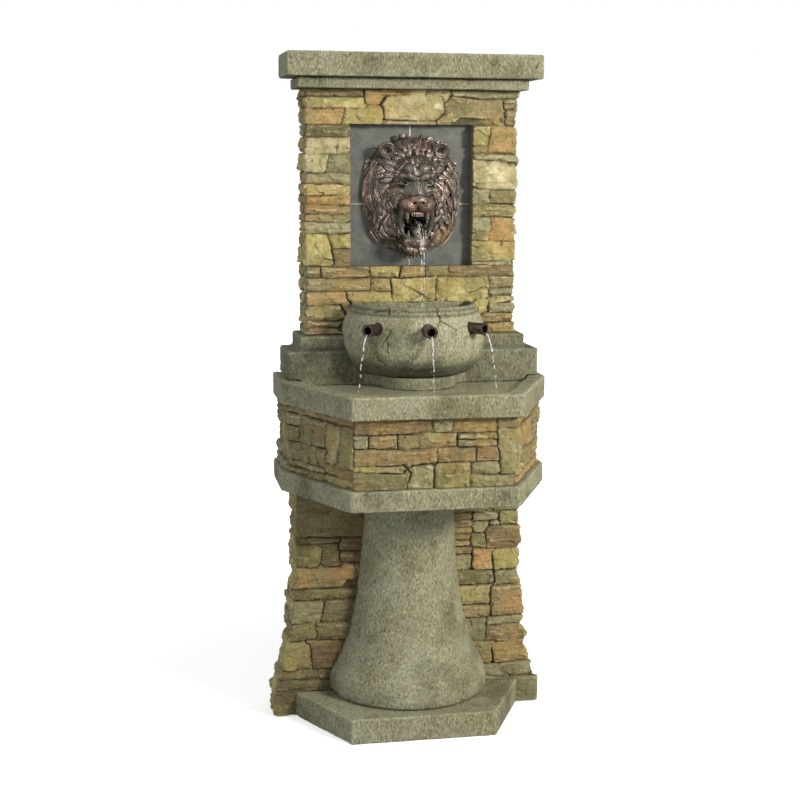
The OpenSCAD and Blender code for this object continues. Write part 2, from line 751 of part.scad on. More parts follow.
module basin_rim() {
    color("darkgray") from_back() difference() {
        slab(half_octagon(rim_plan), rim_z, rim_top);
        slab(half_octagon(rim_plan, rim_w, rim_back_w), rim_z - eps, rim_top + eps);
    }
}

// Stones of one basin face as left, bottom, right and top edge, seen from outside
front_face_stones = [
    [-190, 113, -6, 142], [-6, 113, 38, 142], [38, 113, 128, 142], [128, 121, 190, 142],
    [-190, 82, -137, 113], [-137, 82, -79, 113], [-79, 82, 47, 113], [47, 98, 130, 113],
    [47, 82, 130, 98], [130, 25, 190, 121], [-190, 49, 0, 82], [0, 52, 81, 82], [81, 52, 130, 82],
    [-190, 34, -63, 49], [-190, 1, -53, 34], [-53, 1, -1, 49], [-1, 1, 71, 52], [71, 25, 130, 52],
    [71, 1, 190, 25]
];
left_diagonal_stones = [
    [-20, 40, 47, 126], [47, 42, 98, 122], [98, 69, 198, 128], [98, 29, 132, 69], [132, 29, 164, 69],
    [164, 29, 275, 69], [198, 69, 275, 101], [198, 101, 275, 129], [-20, 126, 98, 142], [98, 129, 275, 142],
    [-20, 17, 98, 40], [98, 15, 275, 29], [-20, 1, 98, 17], [98, 1, 275, 15]
];
right_diagonal_stones = [
    [-20, 83, 48, 123], [-20, 39, 48, 83], [48, 69, 151, 123], [48, 39, 151, 69], [151, 89, 275, 127],
    [151, 45, 275, 89], [-20, 123, 151, 142], [151, 127, 275, 142], [-20, 19, 131, 39],
    [131, 19, 275, 45], [-20, 1, 275, 19]
];
side_face_stones = [
    [-20, 99, 70, 142], [70, 86, 144, 142], [-20, 59, 52, 99], [52, 47, 144, 86], [-20, 19, 52, 59],
    [52, 19, 144, 47], [-20, 1, 144, 19]
];

function band_level(v) = lookup(v, [[0, band_z], [144, rim_z]]);

// Stones on one face, drawn for a face of the length given, or from its middle
module face_stones(i, drawn, stones, seed, from_middle = false, flip = false) {
    face_w = norm(core_points[i + 1] - core_points[i]);
    stretch = face_w / drawn;
    on_side(core_points, outer_points, i, band_z, rim_z)
        for (k = [0 : len(stones) - 1]) let(
            a = stones[k][0] * stretch,
            b = stones[k][2] * stretch,
            u0 = from_middle ? a + face_w / 2 : flip ? face_w - b : a,
            u1 = from_middle ? b + face_w / 2 : flip ? face_w - a : b,
            z0 = band_level(stones[k][1]),
            z1 = band_level(stones[k][3])
        )
            stone(u0, z0, u1, z1, [
                for (p = stone_outline(u0, z0, u1, z1))
                    wander(p[0], p[1], held(min(p[1] - band_z, rim_z - p[1])))
            ], seed + k);
}

core_points = half_octagon(cornice_plan, core_inset);
outer_points = half_octagon(cornice_plan, band_inset);

module basin_stones_left_side() {
    color("olive") from_back() face_stones(0, 141, side_face_stones, 100, false, true);
}

module basin_stones_left_diagonal() {
    color("darkkhaki") from_back() face_stones(1, 252, left_diagonal_stones, 130, false, true);
}

module basin_stones_front() {
    color("peru") from_back() face_stones(2, 324.6, front_face_stones, 160, true);
}

module basin_stones_right_diagonal() {
    color("darkkhaki") from_back() face_stones(3, 252, right_diagonal_stones, 200);
}

module basin_stones_right_side() {
    color("olive") from_back() face_stones(4, 141, side_face_stones, 230);
}

// Lower wall

// Half width of the lower wall at the height z, over its stones
function lower_w(z) = foot_half_w - (foot_half_w - lower_top_half_w)
    * lookup(z / cornice_z, [
        [0, 0], [0.12, 0], [0.155, 0.1], [0.2, 0.33], [0.28, 0.53], [0.335, 0.63], [0.59, 0.96], [1, 1]
    ]);

z_low = 3;
foot_top = plinth_h + column_foot_h;
column_waist_r = column_foot_r * 0.89;

// Radius of the column's flared shaft at the height z
function shaft_radius(z) = let(t = (z - foot_top) / (cornice_z - foot_top))
    column_top_r + (column_waist_r - column_top_r) * (exp(-3.4 * t) - exp(-3.4) * t);

column_outline = concat(
    [[column_foot_r - 6, plinth_h], [column_foot_r - 1.5, plinth_h + 7], [column_foot_r, plinth_h + 20],
     [column_foot_r - 1.5, plinth_h + 36], [column_foot_r - 6, plinth_h + 52],
     [column_foot_r - 12, foot_top - 14], [column_waist_r + 1.5, foot_top - 4]],
    [for (i = [0 : 14]) let(z = foot_top + (cornice_z - foot_top) * pow(i / 14, 1.5)) [shaft_radius(z), z]]
);

module column() {
    color("gray") from_back() difference() {
        translate([0, -column_axis, 0]) rotate_extrude() difference() {
            polygon(concat([[0, plinth_h]], column_outline, [[0, cornice_z]]));
            polygon(concat([[0, plinth_h - 1]], [[column_foot_r - 6 - shell, plinth_h - 1]],
                [for (p = column_outline) [p[0] - shell, p[1]]],
                [[column_top_r - shell, cornice_z + 1], [0, cornice_z + 1]]));
        }
        block(2 * column_foot_r, -2 * column_foot_r, lower_core_depth, 0, cornice_z + 1);
    }
}

module plinth() {
    color("gray") from_back() slab(half_octagon(plinth_plan, 0, lower_core_depth), 0, plinth_h);
}

core_levels = [0, 0.12, 0.155, 0.2, 0.28, 0.335, 0.59, 1];

// Front outline of the lower wall behind its stones, drawn in by t
module lower_outline(t) {
    right = [for (f = core_levels) [lower_w(f * cornice_z) - stone_t - t, f * cornice_z]];
    left = [for (i = [len(right) - 1 : -1 : 0]) [-right[i][0], right[i][1]]];
    polygon(concat(right, left));
}

// Hollow casting, open at its foot
module lower_wall_shell() {
    color("dimgray") from_back() difference() {
        rotate([90, 0, 0]) linear_extrude(lower_core_depth) lower_outline(0);
        translate([0, -shell, 0]) rotate([90, 0, 0]) linear_extrude(lower_core_depth - 2 * shell)
            translate([0, -shell]) lower_outline(shell);
    }
}

// The stone drawing of the lower wall is stretched between the plinth and the cornice
function lower_z(v) = lookup(v, [[0, 0], [60, plinth_h + 4], [525, cornice_z]]);

// Half width kept free of stones at the height z by the plinth or the column
function free_half(z) = z < plinth_h + 5 ? plinth_half_w : lookup(z,
    [for (p = column_outline) [p[1], sqrt(pow(p[0], 2) - pow(lower_core_depth - column_axis, 2))]]);

// Each stone as inner, lower, outer and upper edge; 0 reaches the column and 400 the corner
lower_left = [
    [0, 499, 178, 523], [178, 499, 400, 523], [0, 404, 400, 499], [158, 389, 400, 404],
    [0, 371, 158, 404], [199, 327, 400, 389], [160, 327, 199, 389], [0, 346, 160, 371],
    [0, 323, 160, 346], [153, 289, 400, 327], [0, 289, 153, 323], [0, 264, 400, 289],
    [198, 211, 400, 264], [0, 211, 198, 264], [210, 170, 400, 211], [0, 170, 210, 211],
    [221, 107, 400, 170], [0, 107, 221, 170], [0, 84, 400, 107], [0, 61, 400, 84], [0, 3, 400, 61]
];
lower_right = [
    [0, 499, 152, 523], [152, 499, 400, 523], [0, 448, 190, 499], [190, 448, 400, 499],
    [0, 429, 149, 448], [0, 414, 149, 429], [0, 399, 149, 414], [0, 384, 149, 399],
    [0, 370, 149, 384], [0, 352, 149, 370], [149, 429, 207, 448], [207, 416, 400, 448],
    [149, 399, 181, 429], [181, 416, 207, 429], [181, 364, 400, 416], [149, 364, 181, 399],
    [149, 316, 198, 364], [198, 314, 400, 364], [0, 316, 149, 352], [0, 282, 198, 316],
    [198, 277, 400, 314], [0, 236, 195, 282], [195, 206, 400, 277], [0, 206, 195, 236],
    [182, 187, 400, 206], [0, 149, 182, 206], [182, 149, 400, 187], [0, 97, 199, 149],
    [199, 97, 400, 149], [0, 61, 400, 97], [0, 3, 400, 61]
];

module lower_stone(s, seed) {
    z0 = lower_z(s[1]);
    z1 = lower_z(s[3]);
    zm = (z0 + z1) / 2;
    g = stone_joint / 2;
    function inner(z) = max(s[0], free_half(z) + 1 - g);
    function outer(z) = min(s[2], lower_w(z) - stone_t - clear + g);
    x0 = inner(zm);
    x1 = outer(zm);
    stone(x0, z0, x1, z1, [
        for (p = stone_outline(x0, z0, x1, z1)) let(
            x = inner(p[1]) + (p[0] - x0) / (x1 - x0) * (outer(p[1]) - inner(p[1])),
            border = min(x - free_half(p[1]), lower_w(p[1]) - stone_t - x, p[1] - z_low, cornice_z - p[1])
        )
            wander(x, p[1], held(border))
    ], seed);
}

module lower_front_stones(stones, seed) {
    color("darkgoldenrod") for (i = [0 : len(stones) - 1]) lower_stone(stones[i], seed + i);
}

module lower_stones_left() {
    from_back() translate([0, -lower_core_depth, 0]) mirror([1, 0, 0]) lower_front_stones(lower_left, 300);
}

module lower_stones_right() {
    from_back() translate([0, -lower_core_depth, 0]) lower_front_stones(lower_right, 340);
}

lower_courses = [3, 41, 61, 84, 107, 150, 170, 211, 236, 264, 289, 323, 346, 389, 404, 448, 499, 523];

// Side stones of the lower wall; the second course stands full width on both sides
module lower_side_stones(side) {
    color("darkgoldenrod") from_back() mirror([side < 0 ? 1 : 0, 0, 0])
        for (i = [0 : len(lower_courses) - 2]) let(
            z0 = lower_z(lower_courses[i]) + stone_joint / 2,
            z1 = lower_z(lower_courses[i + 1]) - stone_joint / 2,
            set_back = i == 1 ? 0 : rands(0, stone_relief, 1, i + 60 * (side + 2))[0]
        )
            translate([0, -1, 0]) rotate([90, 0, 0]) linear_extrude(lower_depth - 1) polygon(concat(
                [[lower_w(z0) - stone_t, z0], [lower_w(z0) - set_back, z0]],
                [[lower_w(z1) - set_back, z1], [lower_w(z1) - stone_t, z1]],
                [for (k = [len(core_levels) - 1 : -1 : 0]) let(z = core_levels[k] * cornice_z)
                    if (z > z0 + 0.1 && z < z1 - 0.1) [lower_w(z) - stone_t, z]]
            ));
}

module lower_side_stones_left() { lower_side_stones(-1); }

module lower_side_stones_right() { lower_side_stones(1); }

// Pump, hose and their fittings

pump_top = pump_z + pump_h;
front_x = chamber_l / 2;
rear_x = -front_x - pump_l;
cover_x = front_x + cover_l;

// Places a shape on the rotor's axis, its own z running along +X
module on_rotor(x) {
    translate([x, -hose_line, rotor_z]) rotate([0, 90, 0]) children();
}

module pump_body() {
    r = 5;
    color("darkslategray") from_back() difference() {
        union() {
            on_rotor(rear_x) linear_extrude(pump_l + chamber_l) rounded_rect(pump_h, pump_w, r);
            translate([0, -hose_line, pump_top - 1]) cylinder(r = tail_r, h = outlet_h + 1);
        }
        on_rotor(rear_x + end_wall) cylinder(r = rotor_r + 0.6, h = pump_l);
        on_rotor(rear_x + end_wall - socket_l) cylinder(r = shaft_r + 0.03, h = pump_l);
        on_rotor(-front_x) cylinder(r = impeller_r + 1, h = chamber_l + eps);
        translate([0, -hose_line, rotor_z]) cylinder(r = outlet_bore_r, h = pump_h + outlet_h);
    }
}

// Intake cage with slots, and the web that carries the shaft's front end
module pump_cover() {
    r = 5;
    eye_r = impeller_r - 5;
    color("black") from_back() difference() {
        on_rotor(front_x) difference() {
            linear_extrude(cover_l) rounded_rect(pump_h, pump_w, r);
            translate([0, 0, cover_plate]) linear_extrude(cover_l - cover_plate - cover_wall)
                rounded_rect(pump_h - 2 * cover_wall, pump_w - 2 * cover_wall, r - cover_wall);
            translate([0, 0, -eps]) difference() {
                cylinder(r = eye_r, h = cover_plate + 1);
                translate([-2, -eye_r - 1, 0]) cube([4, 2 * eye_r + 2, cover_plate + 1]);
                cylinder(r = 4, h = cover_plate + 1);
            }
            translate([0, 0, -eps]) cylinder(r = shaft_r + 0.03, h = socket_l);
            translate([0, 0, cover_l - cover_wall - eps]) cylinder(r = dial_pin_r, h = 2 * cover_wall);
            for (i = [-2 : 2])
                translate([i * 8 - 1.5, 8, cover_l - cover_wall - 1])
                    cube([3, pump_w / 2 - 14, 2 * cover_wall]);
        }
        for (i = [0 : 2], side = [-1, 1])
            translate([front_x + cover_plate + 3 + i * 5, -hose_line + side * pump_w / 2 - 5, pump_z + 9])
                cube([2.5, 10, pump_h - 18]);
    }
}

dial_r = 13;
dial_t = 4;
dial_pin_r = 2.5;

// Flow dial, turning on its own pin in the cage's front
module flow_dial() {
    color("green") from_back() on_rotor(cover_x) difference() {
        union() {
            translate([0, 0, -cover_wall - 3]) cylinder(r = dial_pin_r - run_clear, h = cover_wall + 4);
            translate([0, 0, -cover_wall - 3]) cylinder(r = dial_pin_r + 1, h = 2.7);
            translate([0, 0, clear]) cylinder(r = dial_r, h = dial_t);
            translate([-1.5, -dial_r + 2, dial_t]) cube([3, 2 * dial_r - 4, 3]);
        }
        for (a = [-40 : 20 : 40])
            rotate([0, 0, a]) translate([-1, dial_r - 2, 0]) cube([2, 4, dial_t + 1]);
    }
}

module rotor_shaft() {
    color("silver") from_back() on_rotor(rear_x + end_wall - socket_l)
        cylinder(r = shaft_r, h = socket_l + pump_l - end_wall + chamber_l + socket_l - 0.1);
}

magnet_end = -front_x + 0.5;

module rotor_magnet() {
    color("dimgray") from_back() on_rotor(rear_x + end_wall + 1) difference() {
        cylinder(r = rotor_r, h = magnet_end - rear_x - end_wall - 1);
        translate([0, 0, -1]) cylinder(r = shaft_r + run_clear, h = pump_l);
    }
}

module impeller() {
    hub_r = 5;
    l = chamber_l - 2;
    color("white") from_back() on_rotor(magnet_end) difference() {
        union() {
            cylinder(r = hub_r, h = l);
            cylinder(r = impeller_r - 1, h = 2);
            for (i = [0 : 5])
                rotate([0, 0, i * 60]) translate([hub_r - 1, -0.8, 0]) cube([impeller_r - hub_r, 1.6, l]);
        }
        translate([0, 0, -1]) cylinder(r = shaft_r + run_clear, h = l + 2);
    }
}

module pump_feet() {
    color("black") from_back()
        for (x = [rear_x + 10, cover_x - 10], y = [-1, 1])
            translate([x, -hose_line + y * (pump_w / 2 - 10), pump_z - feet_h])
                cylinder(r1 = 8, r2 = 5, h = feet_h);
}

hose_top = mouth_z - elbow_bend;
elbow_end = tile_back - bed_t - 3 - 0.5;

module hose() {
    color("dimgray") from_back() translate([0, -hose_line, 0]) {
        difference() {
            union() {
                translate([0, 0, pump_top + 0.5]) cylinder(r = hose_r, h = hose_top - pump_top - 0.5);
                translate([0, -elbow_bend, hose_top]) elbow(hose_r);
                translate([0, -elbow_bend, mouth_z]) rotate([90, 0, 0])
                    cylinder(r = hose_r, h = elbow_end - hose_line - elbow_bend);
            }
            translate([0, 0, pump_top]) cylinder(r = hose_bore_r, h = hose_top - pump_top);
            translate([0, -elbow_bend, hose_top]) elbow(hose_bore_r);
            translate([0, -elbow_bend, mouth_z]) rotate([90, 0, 0]) cylinder(r = hose_bore_r, h = elbow_end);
        }
    }
}

// Quarter bend of a round bar, from upright round to the front
module elbow(r) {
    rotate([90, 0, 90]) rotate_extrude(angle = 90) translate([elbow_bend, 0]) circle(r);
}

clamp_w = 6;

module clamp_ring() {
    difference() {
        union() {
            cylinder(r = hose_r + 1.4, h = clamp_w);
            translate([hose_r, -3.5, 0]) cube([6.5, 7, clamp_w]);
        }
        translate([0, 0, -1]) cylinder(r = hose_r + 0.1, h = clamp_w + 2);
    }
}

module hose_clamps() {
    color("silver") from_back() {
        translate([0, -hose_line, pump_top + outlet_h / 2]) clamp_ring();
        translate([0, -elbow_end + clamp_w + 0.5, mouth_z]) rotate([90, 0, 0]) clamp_ring();
    }
}

plinth();
column();
lower_wall_shell();
lower_stones_left();
lower_stones_right();
lower_side_stones_left();
lower_side_stones_right();
cornice();
basin_shell();
basin_stones_front();
basin_stones_left_diagonal();
basin_stones_right_diagonal();
basin_stones_left_side();
basin_stones_right_side();
basin_rim();
step_block();
bowl_apron();
bowl();
spout_left();
spout_front();
spout_right();
upper_wall_shell();
upper_stones_front();
upper_side_stones_left();
upper_side_stones_right();
niche_tiles();
lion_mask();
mouth_pipe();
cap_moulding();
cap_slab();
hose();
hose_clamps();
pump_body();
pump_cover();
rotor_shaft();
rotor_magnet();
impeller();
flow_dial();
pump_feet();
access_door();
lead_grommet();
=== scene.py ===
# %% [markdown]
# A garden fountain of cast stone: a slate-lined niche with a bronze lion mask, a bowl with three
# spouts, a faceted basin and a flared column, all backed by a wall faced with split stone.
# The CAD part gives the size of every piece. This script adds what it leaves out: torn
# stone faces, pitted castings, a sculpted mask and running water.

# %% Load the frame and set up the tools
import math
import random
import bpy
import bmesh
import numpy as np
from mathutils import Matrix, Vector


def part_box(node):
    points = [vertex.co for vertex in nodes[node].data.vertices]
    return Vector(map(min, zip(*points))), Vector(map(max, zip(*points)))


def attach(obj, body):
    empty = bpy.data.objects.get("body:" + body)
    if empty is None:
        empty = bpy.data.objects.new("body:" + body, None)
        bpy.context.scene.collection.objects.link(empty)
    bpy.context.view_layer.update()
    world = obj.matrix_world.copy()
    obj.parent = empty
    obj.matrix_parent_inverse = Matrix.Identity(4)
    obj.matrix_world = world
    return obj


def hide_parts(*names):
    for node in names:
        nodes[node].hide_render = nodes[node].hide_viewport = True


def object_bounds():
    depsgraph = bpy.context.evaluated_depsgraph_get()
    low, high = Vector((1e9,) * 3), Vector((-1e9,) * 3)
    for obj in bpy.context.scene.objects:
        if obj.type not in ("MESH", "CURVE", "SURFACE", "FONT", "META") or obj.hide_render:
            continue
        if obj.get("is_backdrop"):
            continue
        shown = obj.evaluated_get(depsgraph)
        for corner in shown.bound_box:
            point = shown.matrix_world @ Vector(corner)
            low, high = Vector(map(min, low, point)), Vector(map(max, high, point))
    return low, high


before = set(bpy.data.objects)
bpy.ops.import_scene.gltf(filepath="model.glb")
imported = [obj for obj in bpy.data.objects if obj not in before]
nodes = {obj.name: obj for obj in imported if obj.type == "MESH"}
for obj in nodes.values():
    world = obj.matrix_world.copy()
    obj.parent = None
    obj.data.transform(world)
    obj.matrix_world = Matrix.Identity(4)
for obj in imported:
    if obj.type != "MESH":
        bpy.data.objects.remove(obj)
cad_lo, cad_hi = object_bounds()
BACK = cad_hi.y
scene = bpy.context.scene


def rgb(code):
    """Linear colour of a hex code such as 8f8a6c."""
    out = []
    for i in (0, 2, 4):
        c = int(code[i:i + 2], 16) / 255
        out.append(c / 12.92 if c <= 0.04045 else ((c + 0.055) / 1.055) ** 2.4)
    return (*out, 1.0)


def put(tree, kind, values=None, **settings):
    """One shader node; its values are numbers, or nodes and sockets to link from."""
    made = tree.nodes.new("ShaderNode" + kind)
    for key, value in settings.items():
        setattr(made, key, value)
    for key, value in (values or {}).items():
        if isinstance(value, bpy.types.Node):
            value = value.outputs[0]
        if isinstance(value, bpy.types.NodeSocket):
            tree.links.new(value, made.inputs[key])
        else:
            made.inputs[key].default_value = value
    return made


def material(name):
    made = bpy.data.materials.new(name)
    made.use_nodes = True
    made.node_tree.nodes.clear()
    return made, made.node_tree


print("frame", len(nodes), "nodes, back plane at", round(BACK, 4))

# %% [markdown]
# Geometry helpers. Weathered castings start as the CAD solid, are meshed evenly with a voxel remesh,
# and then lose material along their normals, so every piece stays in its mould.

# %% Noise, meshing and wear
def lattice(base, seed):
    h = base[:, 0] * 73856093 ^ base[:, 1] * 19349663 ^ base[:, 2] * 83492791 ^ seed * 2654435
    h = (h ^ (h >> 13)) * 1274126177
    return ((h ^ (h >> 16)) & 65535) / 32767.5 - 1.0


def cloud(p, size, octaves=3, seed=0, stretch=(1, 1, 1)):
    """Smooth noise from -1 to 1, its largest lumps about size metres across."""
    total, weight = np.zeros(len(p)), 0.0
    for octave in range(octaves):
        q = p * np.array(stretch) / (size * 0.5 ** octave) + 37.7 + octave * 5.77
        base = np.floor(q).astype(np.int64)
        f = q - base
        w = f * f * (3 - 2 * f)
        value = np.zeros(len(p))
        for dx in (0, 1):
            for dy in (0, 1):
                for dz in (0, 1):
                    part = (w[:, 0] if dx else 1 - w[:, 0]) * (w[:, 1] if dy else 1 - w[:, 1])
                    part = part * (w[:, 2] if dz else 1 - w[:, 2])
                    value += part * lattice(base + np.array([dx, dy, dz]), seed + octave)
        total += value * 0.5 ** octave
        weight += 0.5 ** octave
    return total / weight


def hewn(u, z, size, seed, wide=1.0):
    """Flat patches as a hammer leaves them, about size across: their height from -1 to 1."""
    q = np.stack([u / size / wide, z / size], 1) + 11.3
    base = np.floor(q).astype(np.int64)
    best, level = np.full(len(q), 9.0), np.zeros(len(q))
    for dx in (-1, 0, 1):
        for dz in (-1, 0, 1):
            cell = base + np.array([dx, dz])
            key = np.stack([cell[:, 0], cell[:, 1], 0 * cell[:, 0]], 1)
            spot = np.stack([lattice(key, seed + k) * 0.5 + 0.5 for k in (1, 2)], 1)
            away = cell + spot - q
            tilt = (away * np.stack([lattice(key, seed + k) for k in (3, 4)], 1)).sum(1)
            far = np.linalg.norm(away, axis=1)
            closer = far < best
            level = np.where(closer, lattice(key, seed + 5) * 0.5 + tilt * 0.9, level)
            best = np.where(closer, far, best)
    return level


def arrays(mesh):
    """Points, quads and normals of a mesh whose faces all have four corners."""
    co = np.zeros(len(mesh.vertices) * 3)
    mesh.vertices.foreach_get("co", co)
    normal = np.zeros(len(mesh.vertices) * 3)
    mesh.vertices.foreach_get("normal", normal)
    quads = np.zeros(len(mesh.loops), np.int64)
    mesh.loops.foreach_get("vertex_index", quads)
    return co.reshape(-1, 3), quads.reshape(-1, 4), normal.reshape(-1, 3)


def even(mesh, voxel, bevel, smooth):
    """The mesh as even quads about a voxel wide, its arrises rounded first."""
    work = bpy.data.objects.new("work", mesh)
    scene.collection.objects.link(work)
    steps = (("WELD", {"merge_threshold": 1e-5}),
             ("BEVEL", {"width": bevel, "segments": 2, "limit_method": "ANGLE", "angle_limit": 0.6}),
             ("REMESH", {"mode": "VOXEL", "voxel_size": voxel}),
             ("SMOOTH", {"factor": 0.5, "iterations": smooth}))
    for kind, settings in steps:
        modifier = work.modifiers.new(kind, kind)
        for key, value in settings.items():
            setattr(modifier, key, value)
    made = bpy.data.meshes.new_from_object(work.evaluated_get(bpy.context.evaluated_depsgraph_get()))
    bpy.data.objects.remove(work)
    return made


def build(name, co, faces, paint=None):
    """A smooth mesh object from arrays, with an optional colour at every point."""
    mesh = bpy.data.meshes.new(name)
    faces = np.asarray(faces)
    mesh.vertices.add(len(co))
    mesh.vertices.foreach_set("co", np.asarray(co, np.float32).ravel())
    mesh.loops.add(faces.size)
    mesh.loops.foreach_set("vertex_index", faces.astype(np.int32).ravel())
    mesh.polygons.add(len(faces))
    mesh.polygons.foreach_set("loop_start", np.arange(0, faces.size, faces.shape[1], dtype=np.int32))
    mesh.update(calc_edges=True)
    mesh.validate()
    mesh.polygons.foreach_set("use_smooth", [True] * len(mesh.polygons))
    if paint is not None:
        layer = mesh.color_attributes.new("tint", "FLOAT_COLOR", "POINT")
        layer.data.foreach_set("color", np.asarray(paint, np.float32).ravel())
    made = bpy.data.objects.new(name, mesh)
    scene.collection.objects.link(made)
    return made


def settle(made, look, stands_for=(), body="fountain"):
    made.data.materials.clear()
    made.data.materials.append(look)
    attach(made, body)
    if stands_for:
        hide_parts(*stands_for)
    return made


def smooth_step(v, low, high):
    t = np.clip((v - low) / (high - low), 0, 1)
    return t * t * (3 - 2 * t)


def box_mm(node):
    """Lowest and highest corner of a node in millimetres."""
    return [np.array(v) * 1000 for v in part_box(node)]


print("helpers ready")

# %% [markdown]
# The camera stands a little to the fountain's left and looks slightly down, with a long lens.
# Its place comes from a fit to the straight edges of the castings, good to about two pixels.

# %% Camera
AZIMUTH, PITCH, ROLL = (math.radians(v) for v in (11.0536, 9.3841, 0.3478))
forward = Vector((math.sin(AZIMUTH) * math.cos(PITCH), math.cos(AZIMUTH) * math.cos(PITCH), -math.sin(PITCH)))
right = Vector((math.cos(AZIMUTH), -math.sin(AZIMUTH), 0))
down = forward.cross(right)
cam_x = right * math.cos(ROLL) - down * math.sin(ROLL)
cam_y = -(right * math.sin(ROLL) + down * math.cos(ROLL))
camera_data = bpy.data.cameras.new("camera")
camera_data.sensor_width = 36
camera_data.lens = 1481.04 / 800 * 36
camera = bpy.data.objects.new("camera", camera_data)
camera.matrix_world = Matrix((
    (cam_x.x, cam_y.x, -forward.x, -0.63035),
    (cam_x.y, cam_y.y, -forward.y, -3.21021 + BACK),
    (cam_x.z, cam_y.z, -forward.z, 1.23044),
    (0, 0, 0, 1)))
scene.collection.objects.link(camera)
scene.camera = camera
print("camera lens", round(camera_data.lens, 2), "mm")

# %% [markdown]
# Dry stone facing. On a cast fountain the stones of a wall are one relief: each stone has its own
# broken face, and clefts part them, some wide and dark, some nearly closed. The relief is a grid
# laid round the wall's outline, so it wraps the corners. Every grid point belongs to the nearest
# stone of the CAD part, and its height comes from that stone's own facets, layers and tilt.

# %% Where the stones are, read from the CAD solids
PAINTS = {
    # kind: main colour, second colour, stain, and how layered it is
    "y": ("a09456", "827a45", "b8ab74", 0.15), "l": ("aea27a", "8c845a", "c2b892", 0.1),
    "o": ("a07b49", "94804b", "b38d5a", 0.6), "t": ("967f50", "786c3f", "a99562", 0.45),
    "b": ("715a39", "7c6a43", "94744a", 0.9), "g": ("7d7a58", "8f8a66", "696444", 0.5),
    "d": ("5c5232", "70663e", "847848", 0.7), "k": ("7c7246", "8d8356", "645b36", 0.45),
}
# What stands out in each face: x and z of the stone's middle in millimetres, and its kind
ACCENTS = {
    "upper_stones_front":
        "-160,1358d -151,1339y -30,1351o 64,1341g 142,1338k 150,1358g -186,1308o -108,1311y -5,1318l "
        "72,1313y 134,1309t 190,1311g 211,1312b -176,1281d -176,1250l -176,1234l -202,1214l -158,1214g "
        "-176,1182g -176,1160y -176,1138o -176,1119b -176,1101k -176,1080g -196,1035y -155,1059y "
        "-155,1015b 150,1273y 193,1267o 150,1243t 175,1228g 175,1190l 154,1144g 195,1144k 175,1115k "
        "152,1085g 195,1078o 152,1058t 175,1028y 175,1001g -209,989k -147,987b -59,987y 4,987o 58,987k "
        "151,984b -155,962k -69,962t 5,948y 114,948y 195,960t 195,939g 195,922y -170,930o -93,935y "
        "-185,899y -185,876b -185,860b 195,905g 158,910y 187,884b 187,864t",
    "basin_stones_front":
        "-98,697b 16,697g 83,697o 147,700g -151,667g -108,667t -16,667k 88,676y 88,659k 148,642y -81,634o "
        "40,635t 105,636b -113,610y -107,586k -27,594l 35,595y 100,607g 118,582k",
    "lower_stones_left":
        "-150,511d -190,453k -200,397d -130,388b -235,358y -180,358d -130,358b -130,334b -205,308o "
        "-130,306t -190,276d -230,237g -160,237d -240,190k -170,190d -255,138y -190,138b -230,95d "
        "-230,72d -280,32k",
    "lower_stones_right":
        "150,473k 220,473k 128,438b 128,421b 128,406o 128,391b 128,377o 128,361b 178,438g 230,432y "
        "165,414g 215,390b 165,381k 173,340o 225,339y 130,334g 155,299k 225,295k 158,259y 228,241o "
        "165,221t 220,196g 160,177g 225,168b 175,123k 240,123o 230,79g 280,32g",
}
MIXES = {"diagonal": "yytokyl", "side": "kytgbyd"}


def stone_kind(node, x, z, dice):
    """The kind of the listed stone nearest to x, z, or a draw from the face's mix."""
    listed = [(e[-1], *[float(v) for v in e[:-1].split(",")]) for e in ACCENTS.get(node, "").split()]
    if not listed:
        return dice.choice(MIXES["diagonal" if "diagonal" in node else "side"])
    return min(listed, key=lambda e: math.dist((x, z), e[1:]))[0]


def solids_of(node):
    """The corners of each separate solid of a node, in millimetres."""
    whole = bmesh.new()
    whole.from_mesh(nodes[node].data)
    bmesh.ops.remove_doubles(whole, verts=whole.verts, dist=1e-5)
    seen, found = set(), []
    for start in whole.verts:
        if start in seen:
            continue
        group, todo = [], [start]
        seen.add(start)
        while todo:
            v = todo.pop()
            group.append(v.co[:])
            for e in v.link_edges:
                other = e.other_vert(v)
                if other not in seen:
                    seen.add(other)
                    todo.append(other)
        found.append(np.array(group) * 1000)
    whole.free()
    return sorted(found, key=lambda g: (round(g[:, 2].min(), 1), round(g[:, 0].min(), 1)))


print("stones of the upper front", len(solids_of("upper_stones_front")))

# %% The relief of one facing
def blurred(h, steps):
    """Mean over a square of 2 * steps + 1 grid points."""
    for axis in (0, 1):
        h = np.moveaxis(h, axis, 0)
        wide = np.concatenate([h[:1]] * (steps + 1) + [h] + [h[-1:]] * steps)
        total = np.cumsum(wide, 0)
        h = np.moveaxis((total[2 * steps + 1:] - total[:-2 * steps - 1]) / (2 * steps + 1), 0, axis)
    return h


